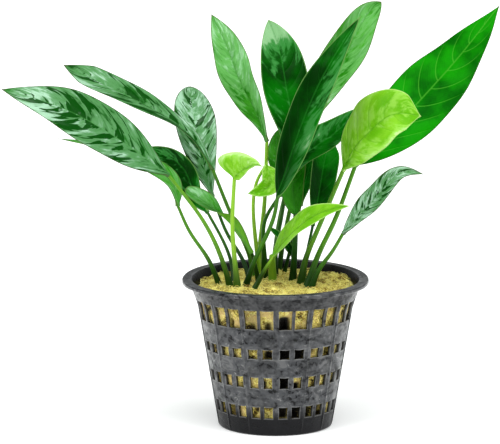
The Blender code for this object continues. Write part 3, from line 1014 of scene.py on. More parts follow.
@dataclass
class StoneWool:
    """The plug of stone wool that fills the pot, its loose fibres and the tufts that stand out of it.

    Attributes:
        pot: The pot that holds it.
        gap: Air between the plug and the wall.
        shoulder: The height where the side turns into the top.
        top: The usual height of the top.
        top_radius: Where the top starts to fall off.
        strand_counts: How many loose fibres lie on the top and behind the slots.
        hollows: Where the side stands back behind slots.
    """

    pot: NetPot
    gap: float = 0.45
    shoulder: float = 39.6
    top: float = 42.0
    top_radius: float = 23.1
    strand_counts: tuple[int, int] = (2600, 1800)
    hollows: tuple[Hollow, ...] = (
        Hollow(0, 3, 4.0, 0.8, -0.75), Hollow(27, 3, 1.6, 0.6, -1.0), Hollow(26, 3, 1.5, 0.6, -1.1),
        Hollow(1, 3, 0.8, 0.6, -1.2), Hollow(24.6, 3, 1.4, 0.35, -0.9), Hollow(23, 3, 1.0, 0.3, 0.2),
        Hollow(0, 2, 4.5, 1.1), Hollow(1, 2, 4.5, 1.1), Hollow(27, 2, 2.0, 0.8, -0.3),
        Hollow(22.5, 2, 3.5, 0.8), Hollow(3.3, 2, 2.5, 0.4, -0.1), Hollow(2, 2, 1.8, 0.5, 0.6),
        Hollow(5.4, 2, 1.8, 0.4), Hollow(0, 1, 4.5, 1.1), Hollow(1, 1, 2.2, 0.6, -0.9),
        Hollow(26.6, 1, 2.0, 0.4, -0.5), Hollow(22.4, 1, 3.5, 0.7), Hollow(25, 1, 1.2, 0.5, -1.0),
        Hollow(5.5, 1, 1.5, 0.4, -0.5), Hollow(0, 0, 2.6, 1.0), Hollow(1, 0, 4.5, 1.1),
        Hollow(2, 0, 4.5, 1.1), Hollow(3.2, 0, 3.0, 0.9), Hollow(4.5, 0, 3.5, 1.2),
        Hollow(24, 0, 4.0, 0.9), Hollow(22.3, 0, 3.5, 0.9), Hollow(26, 0, 1.6, 0.4, 0.5),
        Hollow(10, 2, 3.5, 1.0), Hollow(12.5, 1, 3.5, 1.2), Hollow(15, 0, 4.0, 1.5),
        Hollow(17, 2, 3.5, 1.0), Hollow(19, 0, 3.5, 1.2), Hollow(8, 0, 3.0, 1.2),
        Hollow(14, 3, 1.5, 0.8, -1.0), Hollow(20, 1, 2.5, 0.9),
    )

    def top_height(self, x: Array, y: Array) -> Array:
        """The top of the wool: low waves, a lump at the right and a smaller one at the back left.

        Args:
            x: Places to the right in mm.
            y: Places to the back in mm.

        Returns:
            The heights in mm.
        """
        waves = 0.28 * np.sin(0.55 * x + 1.3) * np.cos(0.47 * y - 0.6) + 0.16 * np.sin(1.1 * x - 0.8 * y)
        right = 2.1 * np.exp(-((x - 17.0) ** 2 + (y - 4) ** 2) / 16.0)
        left = 0.8 * np.exp(-((x + 16.5) ** 2 + (y - 8) ** 2) / 8.0)
        return self.top + waves + right + left

    def inside(self, height: Array) -> Array:
        """The radius of the plug's side at a height."""
        return self.pot.wall_radius(height) - self.pot.wall - self.gap

    def crown_height(self, x: Array, y: Array) -> Array:
        """The top with its tufts: clouds of three sizes on top of the waves and lumps.

        Args:
            x: Places to the right in mm.
            y: Places to the back in mm.

        Returns:
            The heights in mm.
        """
        level = self.top_height(x, y)
        spot = np.stack([x, y, level], -1)
        tufts = 0.95 * cloud(spot, 3.4, 3) + 0.5 * cloud(spot, 1.1, 5) + 0.75 * cloud(spot, 6.5, 2)
        return level + tufts

    def hollow_depth(self, angle: Array, height: Array) -> Array:
        """How far the side stands back: each hollow is its depth times exp(-turn^4 - rise^4).

        Where hollows meet, the deepest counts.

        Args:
            angle: Degrees round the pot.
            height: Heights in mm.

        Returns:
            The depth in mm.
        """
        depth = np.zeros(np.broadcast(angle, height).shape)
        for spot in self.hollows:
            slots = self.pot.rows[spot.row]
            middle, tall = (slots.bottom + slots.top) / 2, (slots.top - slots.bottom) / 2
            pitch = 180.0 / self.pot.panels
            at = (spot.column + 0.5) * pitch - 90.0
            turn = (angle - at + 180.0) % 360.0 - 180.0
            shape = ((turn / (0.42 * pitch * spot.wide)) ** 2) ** 2
            rise = (((height - middle - spot.up * tall) / (tall * 1.15 * max(spot.wide, 0.7))) ** 2) ** 2
            depth = np.maximum(depth, spot.depth * np.exp(-shape - rise))
        return depth

    def plug(self) -> Form:
        """The plug: rings up its side and in over its top, roughened by clouds and pushed in at the hollows.

        Returns:
            The closed form, with painted shade for its hollows and crevices kept at its corners.
        """
        turns = np.linspace(0, 360, 300, endpoint=False)
        radians = np.radians(turns)
        low = self.pot.base + 0.5
        heights = np.linspace(low + 0.6, self.shoulder, 96)
        radius = self.inside(heights)[:, None]
        level = heights[:, None] + 0 * radians
        side = np.stack([radius * np.cos(radians), radius * np.sin(radians), level], -1)
        shares = np.linspace(1.0, 0.02, 52) ** 0.9
        reach = self.top_radius * shares[:, None]
        x, y = reach * np.cos(radians), reach * np.sin(radians)
        crown = np.stack([x, y, self.crown_height(x, y) - 1.2 * smooth(0.92, 1.0, shares)[:, None]], -1)
        foot = side[:1] * np.array((0.95, 0.95, 0.0)) + np.array((0.0, 0.0, low))
        rings = np.concatenate([foot, side, crown])
        depth = np.zeros(rings.shape[:2])
        depth[1:1 + len(side)] = self.hollow_depth(turns[None, :], heights[:, None])
        rough = 0.55 * cloud(rings, 3.2, 3) + 0.35 * cloud(rings, 1.1, 5)
        out = unit(rings * np.array((1.0, 1.0, 0.0)) + 1e-9)
        on_side = (np.arange(len(rings)) <= len(side))[:, None]
        dent = depth * (0.85 + 0.3 * cloud(rings, 1.6, 8))
        rings = rings + out * ((np.minimum(rough, 0.15) - 0.1 - dent) * on_side)[..., None]
        # Painted shade: darker in the hollows behind the slots, in crevices of the clouds and where the top
        # sinks.
        cracks = 0.5 * smooth(-0.1, -0.45, rough) + 0.5 * smooth(-0.15, -0.5, cloud(rings, 7.0, 4))
        sunk = crown[..., 2] - self.top_height(x, y)
        cracks[1 + len(side):] = 0.65 * smooth(-0.2, -0.85, sunk) * smooth(1.0, 0.92, shares)[:, None]
        gloom = np.maximum(smooth(0.35, 1.8, depth), np.minimum(cracks, 0.75))
        return Form.closed_rings(rings, {"wool_hollow": gloom[..., None]})

    def fibres(self, count: int, seed: int) -> Form:
        """Loose fibres on the top: bent three-sided strands, all in one form.

        A strand starts anywhere on the top, runs 1.6 to 5 mm in a level direction that turns evenly, follows
        the top and arches a little above it.

        Args:
            count: How many there are.
            seed: The seed of their places.

        Returns:
            The form of all strands.
        """
        random = np.random.default_rng(seed)
        share = np.linspace(0, 1, 7)
        radius = self.top_radius * 0.97 * np.sqrt(random.random(count))
        angle = random.random(count) * 2 * np.pi
        heading, bend = random.random(count) * 2 * np.pi, random.normal(0, 1.6, count)
        length = random.uniform(1.6, 5.0, count)
        way = heading[:, None] + bend[:, None] * share
        step = length[:, None] / 6
        x = (radius * np.cos(angle))[:, None] + np.cumsum(np.cos(way) * step, 1)
        y = (radius * np.sin(angle))[:, None] + np.cumsum(np.sin(way) * step, 1)
        keep = np.maximum(np.hypot(x, y) / (self.top_radius - 1.0), 1.0)
        x, y = x / keep, y / keep
        arch = random.uniform(0.0, 0.9, count)[:, None] * np.sin(np.pi * share)
        path = np.stack([x, y, self.crown_height(x, y) + random.normal(0.1, 0.15, count)[:, None] + arch], -1)
        return self.strands(path, random.uniform(0.045, 0.10, count))

    def side_fibres(self, count: int, seed: int) -> Form:
        """Loose fibres behind the slots: strands that lie round the side of the plug at any slant.

        Args:
            count: How many there are.
            seed: The seed of their places.

        Returns:
            The form of all strands.
        """
        random = np.random.default_rng(seed)
        share = np.linspace(0, 1, 7)
        rows = random.choice(len(self.pot.rows), count, p=(0.16, 0.18, 0.16, 0.5))
        low = np.array([slots.bottom for slots in self.pot.rows])[rows]
        high = np.array([slots.top for slots in self.pot.rows])[rows]
        z = low + (high - low) * random.random(count)
        angle, slant = random.random(count) * 360, random.uniform(0, np.pi, count)
        length, bend = random.uniform(1.5, 4.0, count), random.normal(0, 1.2, count)
        way = slant[:, None] + bend[:, None] * share
        heights = z[:, None] + np.cumsum(np.sin(way), 1) * length[:, None] / 6
        heights = np.clip(heights, low[:, None] - 0.8, high[:, None] + 0.8)
        inside = self.inside(heights)
        turn = angle[:, None] + np.degrees(np.cumsum(np.cos(way), 1) * length[:, None] / 6 / inside)
        depth = self.hollow_depth(turn, heights)
        radius = inside - random.uniform(-0.15, 0.45, count)[:, None] - 0.9 * depth
        radians = np.radians(turn)
        path = np.stack([radius * np.cos(radians), radius * np.sin(radians), heights], -1)
        form = self.strands(path, random.uniform(0.05, 0.10, count))
        # Painted shade on the fibres that lie in hollows.
        form.values["wool_hollow"] = np.repeat(smooth(0.35, 1.8, depth).ravel(), 3)[:, None]
        return form

    @staticmethod
    def strands(path: Array, radius: Array) -> Form:
        """Three-sided strands along paths, thinner towards both ends.

        Args:
            path: Points with the strand along the first axis and the step along the second.
            radius: One radius for each strand.

        Returns:
            All strands in one form.
        """
        count, steps = path.shape[:2]
        along = unit(np.gradient(path, axis=1) + 1e-6)
        side = unit(np.cross(along, np.array((0.3, 0.2, 1.0))))
        up = np.cross(side, along)
        thin = radius[:, None] * np.sin(np.pi * np.linspace(0.12, 0.88, steps))
        turn = np.arange(3) * 2 * np.pi / 3
        ring = side[:, :, None] * np.cos(turn)[:, None] + up[:, :, None] * np.sin(turn)[:, None]
        corners = path[:, :, None] + thin[:, :, None, None] * ring
        grid = np.arange(count * steps * 3).reshape(count, steps, 3)
        wrapped = np.concatenate([grid, grid[:, :, :1]], 2)
        a, b, c, d = wrapped[:, :-1, :-1], wrapped[:, 1:, :-1], wrapped[:, 1:, 1:], wrapped[:, :-1, 1:]
        faces = np.stack([a, b, c, d], -1).reshape(-1, 4).tolist()
        faces += grid[:, 0, ::-1].tolist() + grid[:, -1].tolist()
        return Form(corners.reshape(-1, 3), faces, {"wool_hollow": np.zeros((count * steps * 3, 1))})

    def build(self) -> list[bpy.types.Object]:
        """Builds the plug and its loose fibres and dresses them.

        Returns:
            The plug, the fibres on its top and the ones behind the slots.
        """
        finish = WoolFinish().material()
        plug = self.plug().piece("stone_wool_plug", finish, "stone_wool")
        top, side = self.fibres(self.strand_counts[0], 11), self.side_fibres(self.strand_counts[1], 12)
        top = top.piece("stone_wool_top_fibres", finish, "stone_wool", hides=False)
        side = side.piece("stone_wool_side_fibres", finish, "stone_wool", hides=False)
        return [plug, top, side]


# -----------------------------------------------------------------------------------------------------------
# The plant
# -----------------------------------------------------------------------------------------------------------


@dataclass
class Rootstock:
    """One piece of creeping rootstock, sunk in the wool.

    Attributes:
        name: Its node's name.
        centre: Where it lies.
        half_length: Half of its length.
        half_width: Half of its width.
        direction: The way its length runs, in degrees from +X.
        top: The height of its back.
        depth: How deep it reaches.
    """

    name: str
    centre: tuple[float, float]
    half_length: float
    half_width: float
    direction: float
    top: float = 42.3
    depth: float = 5.0

    def form(self) -> Form:
        """A lying oval with a flat back and underside, and rings where old leaves stood.

        From its underside to its back, v from 0 to pi, the outline is sin(v)^0.55 of the oval and the height
        follows -cos(v)^3; the rings are a sine of the place along it.

        Returns:
            The closed form, with the rings kept at its corners.
        """
        v = np.linspace(0.06, np.pi - 0.06, 40)[:, None]
        u = np.linspace(0, 2 * np.pi, 96, endpoint=False)[None, :]
        wide = np.sin(v) ** 0.55
        length, width = self.half_length * wide * np.cos(u), self.half_width * wide * np.sin(u)
        ring = 0.5 + 0.5 * np.sin(length * 2.6 + 0.5 * np.sin(width * 0.8))
        height = self.top - self.depth / 2 - self.depth / 2 * np.cos(v) ** 3 * np.ones_like(u)
        cos, sin = math.cos(math.radians(self.direction)), math.sin(math.radians(self.direction))
        x = self.centre[0] + length * cos - width * sin
        y = self.centre[1] + length * sin + width * cos
        spot = np.stack([x, y, height], -1)
        lump = 0.3 * cloud(spot, 2.6, len(self.name)) - 0.15 + 0.12 * (ring - 0.5)
        out = unit(spot - np.array((*self.centre, self.top - self.depth / 2)))
        return Form.closed_rings(spot + out * lump[..., None], {"ring": smooth(0.7, 1.0, ring)[..., None]})

    def build(self, finish: bpy.types.Material) -> bpy.types.Object:
        """Builds the rootstock and dresses it."""
        return self.form().piece(f"{self.name}_bark", finish, self.name)


@dataclass(frozen=True)
class Patch:
    """A soft spot on a blade: where it lies along and across, how long and broad it is, and how strong."""

    along: float
    across: float
    length: float
    breadth: float
    strength: float

    def over(self, along: Array, across: Array) -> Array:
        """The patch as a bell curve in both directions."""
        shape = bell(along - self.along, self.length) * bell(across - self.across, self.breadth)
        return self.strength * shape


@dataclass
class Stalk:
    """A leaf's stalk, with the sheath that widens its foot.

    Attributes:
        foot: Where it stands.
        through: The points that it passes.
        tone: 0 for dark green up to 1 for lime.
        foot_radius: Its radius at the foot.
        tip_radius: Its radius at the blade.
        sheath: How much wider the sheath makes its foot.
        sheath_length: How far up the sheath reaches.
        shade: How dark the foot is.
    """

    foot: tuple[float, float]
    through: tuple[Triple, ...]
    tone: float = 0.45
    foot_radius: float = 1.1
    tip_radius: float = 0.82
    sheath: float = 0.3
    sheath_length: float = 6.0
    shade: float = 0.9

    def form(self, neck: Triple, rows: int = 72, sides: int = 24) -> Form:
        """The stalk as rings along a spline from the wool to the blade's neck.

        The radius runs from foot to tip as (1 - t)^1.3; the sheath adds a bell curve of the distance from the
        foot to its breadth, and a shallow channel runs up its inner side.

        Args:
            neck: Where the blade starts.
            rows: Rings along it.
            sides: Corners round it.

        Returns:
            The closed form, with its share along, its turn and its tone kept at its corners.
        """
        first, last = np.array((*self.foot, 41.0)), np.array(neck, float)
        down = unit(first - np.array(self.through[0], float))
        end = last + 1.2 * unit(last - np.array(self.through[-1], float))
        route = (tuple(first + 2.2 * down), tuple(first), *self.through, tuple(last), tuple(end))
        t = np.linspace(0, 1, rows)
        place, along = natural_spline(route, t)
        side, up = ring_frame(along)
        reach = np.concatenate(([0], np.cumsum(np.linalg.norm(np.diff(place, axis=0), axis=1))))
        radius = self.tip_radius + (self.foot_radius - self.tip_radius) * (1 - t) ** 1.3
        radius = radius * (1 - 0.5 * smooth(0.955, 1.0, t))
        broad = radius + self.sheath * bell(reach, self.sheath_length)
        deep = radius + 0.45 * self.sheath * bell(reach, self.sheath_length)
        turn = np.linspace(0, 2 * np.pi, sides, endpoint=False)
        channel = 1 - 0.22 * bell((turn - np.pi / 2), 0.5)
        lump = 1 + 0.05 * cloud(place, 5.0, self.foot[0], 2)
        ring = side[:, None] * (broad * lump)[:, None, None] * np.cos(turn)[None, :, None]
        ring = ring + up[:, None] * (deep * lump)[:, None, None] * (channel * np.sin(turn))[None, :, None]
        flat = 0 * t[:, None] + 0 * turn
        kept = np.stack([t[:, None] + flat, 0.5 + 0.5 * np.cos(turn) + flat, self.tone + flat], -1)
        dark = self.shade * smooth(56.0, 44.0, place[:, 2])[:, None, None] + 0 * turn[:, None]
        return Form.closed_rings(place[:, None] + ring, {"stalk_place": kept, "stalk_shade": dark})


@dataclass
class Leaf:
    """One leaf: its stalk, its blade and its finish.

    Attributes:
        name: The leaf's name.
        stalk: Its stalk.
        midrib: The points that the blade's midrib passes.
        half: Half of its greatest width.
        face_base: The way its upper side looks at the neck.
        face_tip: The way its upper side looks at the tip.
        green: Its finish.
        lift: How far the left and right halves rise out of the flat, in degrees.
        widest: Where along the midrib it is broadest.
        full: How blunt its outline is.
        painted_light: How strong the painted sheen is all over.
        sheen_patches: Patches with more or less painted sheen.
        shades: Patches of painted shade that lie darker.
        ripple: How far its margins wave, in mm.
        ripples: How many waves there are.
        curl: How far each margin turns over, left and right, in mm.
        sides: The share of the width that each half has.
        point: The share of the blade that runs in to its pointed tip.
        thickness: How thick the blade is in the middle.
        rib_width: How broad the midrib's channel is.
        channel: How deep the midrib lies in the upper side.
        keel: How far the midrib stands out of the lower side.
    """

    name: str
    stalk: Stalk
    midrib: tuple[Triple, ...]
    half: float
    face_base: Triple
    face_tip: Triple
    green: Green
    lift: tuple[float, float] = (10, 10)
    widest: float = 0.5
    full: float = 1.6
    painted_light: float = 0.1
    sheen_patches: tuple[Patch, ...] = ()
    shades: tuple[Patch, ...] = ()
    ripple: float = 0.25
    ripples: float = 2.5
    curl: tuple[float, float] = (0.0, 0.0)
    sides: tuple[float, float] = (1.0, 1.0)
    point: float = 0.0
    thickness: float = 0.36
    rib_width: float = 0.55
    channel: float = 0.22
    keel: float = 0.62

    def outline(self, t: Array) -> Array:
        """Half of the width: t^(full*m) * (1-t)^(full*(1-m)), scaled to 1 at t = m, the widest place.

        Over the last share of the blade, the point, it narrows as the root of what is left.

        Args:
            t: Shares along the midrib.

        Returns:
            Half widths in mm.
        """
        m = self.widest
        shape = (t / m) ** (self.full * m) * ((1 - t) / (1 - m)) ** (self.full * (1 - m))
        if self.point:
            shape = shape * np.sqrt(np.clip((1 - t) / self.point, 0, 1))
        return np.maximum(self.half * shape, 0.6 * (1 - t) ** 2 + 0.1)

    def sheet(self, t: Array, across: Array) -> tuple[Array, Array]:
        """The blade's middle surface.

        Each half rises out of the flat by its lift, as |across|^1.3. The margins wave as a sine along the
        blade, strongest at the edge; between the side veins the skin swells a little.

        Args:
            t: Shares along the midrib.
            across: Places across, from -1 at the left margin to 1 at the right one.

        Returns:
            The points and the normals of the upper side.
        """
        place, along = natural_spline(self.midrib, t)
        ease = (t * t * (3 - 2 * t))[:, None]
        face = unit(self.face_base) * (1 - ease) + unit(self.face_tip) * ease
        side = unit(np.cross(along, face))
        up = np.cross(side, along)
        width = self.outline(t)[:, None] * np.where(across < 0, *self.sides)
        lift = np.radians(np.where(across < 0, self.lift[0], self.lift[1]))
        out = across * np.cos(lift) * width
        size = np.abs(across)
        rise = size**1.3 * np.sin(lift) * width
        envelope = np.sin(np.pi * np.clip(t, 0, 1))[:, None] ** 0.7
        phase = 2 * np.pi * self.ripples * t[:, None] + np.where(across < 0, 0.0, 1.9) + len(self.name)
        rise = rise + self.ripple * size**2.4 * np.sin(phase) * envelope
        rise = rise - np.where(across < 0, self.curl[0], self.curl[1]) * smooth(0.7, 1.0, size) * envelope
        count = (t[:, None] - VEIN_RISE * size**VEIN_BEND) * self.green.value.veins
        count = count + np.where(across > 0, VEIN_STAGGER, 0.0)
        swell = np.abs(np.sin(np.pi * count)) ** 0.8 * smooth(0.02, 0.2, size) * smooth(1.0, 0.75, size)
        rise = rise + 0.028 * width**0.8 * swell * envelope
        points = place[:, None] + side[:, None] * out[..., None] + up[:, None] * rise[..., None]
        down_blade, over_blade = np.gradient(points, axis=0), np.gradient(points, axis=1)
        return points, unit(np.cross(over_blade, down_blade))

    def blade(self, rows: int = 104, columns: int = 37) -> Form:
        """The blade as one closed skin: out over the upper side and back under the lower one.

        It thins from the middle to the margin as the root of 1 - across^2. The midrib is a shallow channel
        above and a round keel below, both bell curves, which fade towards the tip.

        Args:
            rows: Rings from neck to tip.
            columns: Corners across each side.

        Returns:
            The closed form with its places, its distances from rib and margin, and its patches of painted
            sheen and shade.
        """
        t = np.linspace(0.0, 1.0, rows) ** 1.05
        across = np.sin(np.linspace(-0.5, 0.5, columns) * np.pi) * 0.35 + np.linspace(-1, 1, columns) * 0.65
        points, normals = self.sheet(t, across)
        width = self.outline(t)[:, None] * np.where(across < 0, *self.sides)
        gap = np.abs(across) * width
        body = self.thickness / 2 * np.sqrt(np.clip(1 - across**2, 0, 1)) * smooth(1.02, 0.9, t)[:, None]
        body = body + 0.001
        rib, keel = bell(gap, self.rib_width), (self.keel * (1 - t) ** 1.3)[:, None]
        channel = self.channel * rib * smooth(1.0, 0.6, t)[:, None] * smooth(0.0, 0.12, t)[:, None]
        neck = rib * (0.5 * smooth(0.1, 0.0, t))[:, None]
        above = points + normals * (body - channel + neck)[..., None]
        below = points - normals * (body + keel * bell(gap, 0.75))[..., None]
        above[:, [0, -1]] = points[:, [0, -1]]
        rings = np.concatenate([above, below[:, -2:0:-1]], 1)
        back = slice(-2, 0, -1)
        # Painted sheen over the blade, from its level and patches.
        painted_light = self.painted_light + sum((patch.over(t[:, None], across) for patch in self.sheen_patches), 0.0 * gap)
        # Painted shade, from the dark patches.
        dusk = np.clip(sum((patch.over(t[:, None], across) for patch in self.shades), 0.0 * gap), 0, 1)
        under = np.concatenate([0 * gap, 0 * gap[:, back] + 1], 1)
        under[:, [0, columns - 1]] = 0.5
        spread = np.concatenate([across + 0 * gap, (across + 0 * gap)[:, back]], 1)
        kept = np.stack([spread, t[:, None] + 0 * spread, under], -1)
        mirrored = [np.concatenate([v, v[:, back]], 1) for v in (gap, width - gap, painted_light)]
        values = {
            "leaf_place": kept,
            "leaf_reach": np.stack(mirrored, -1),
            "leaf_dusk": np.concatenate([dusk, dusk[:, back]], 1)[..., None],
        }
        return Form.closed_rings(rings, values)

    def build(
        self, blades: dict[Green, bpy.types.Material], stalks: bpy.types.Material
    ) -> list[bpy.types.Object]:
        """Builds the blade and the stalk and dresses them.

        Args:
            blades: The blade finishes.
            stalks: The stalk finish.

        Returns:
            The blade and the stalk.
        """
        blade = self.blade().piece(f"leaf_{self.name}", blades[self.green], f"blade_{self.name}")
        stalk = self.stalk.form(self.midrib[0]).piece(f"stem_{self.name}", stalks, f"stalk_{self.name}")
        return [blade, stalk]


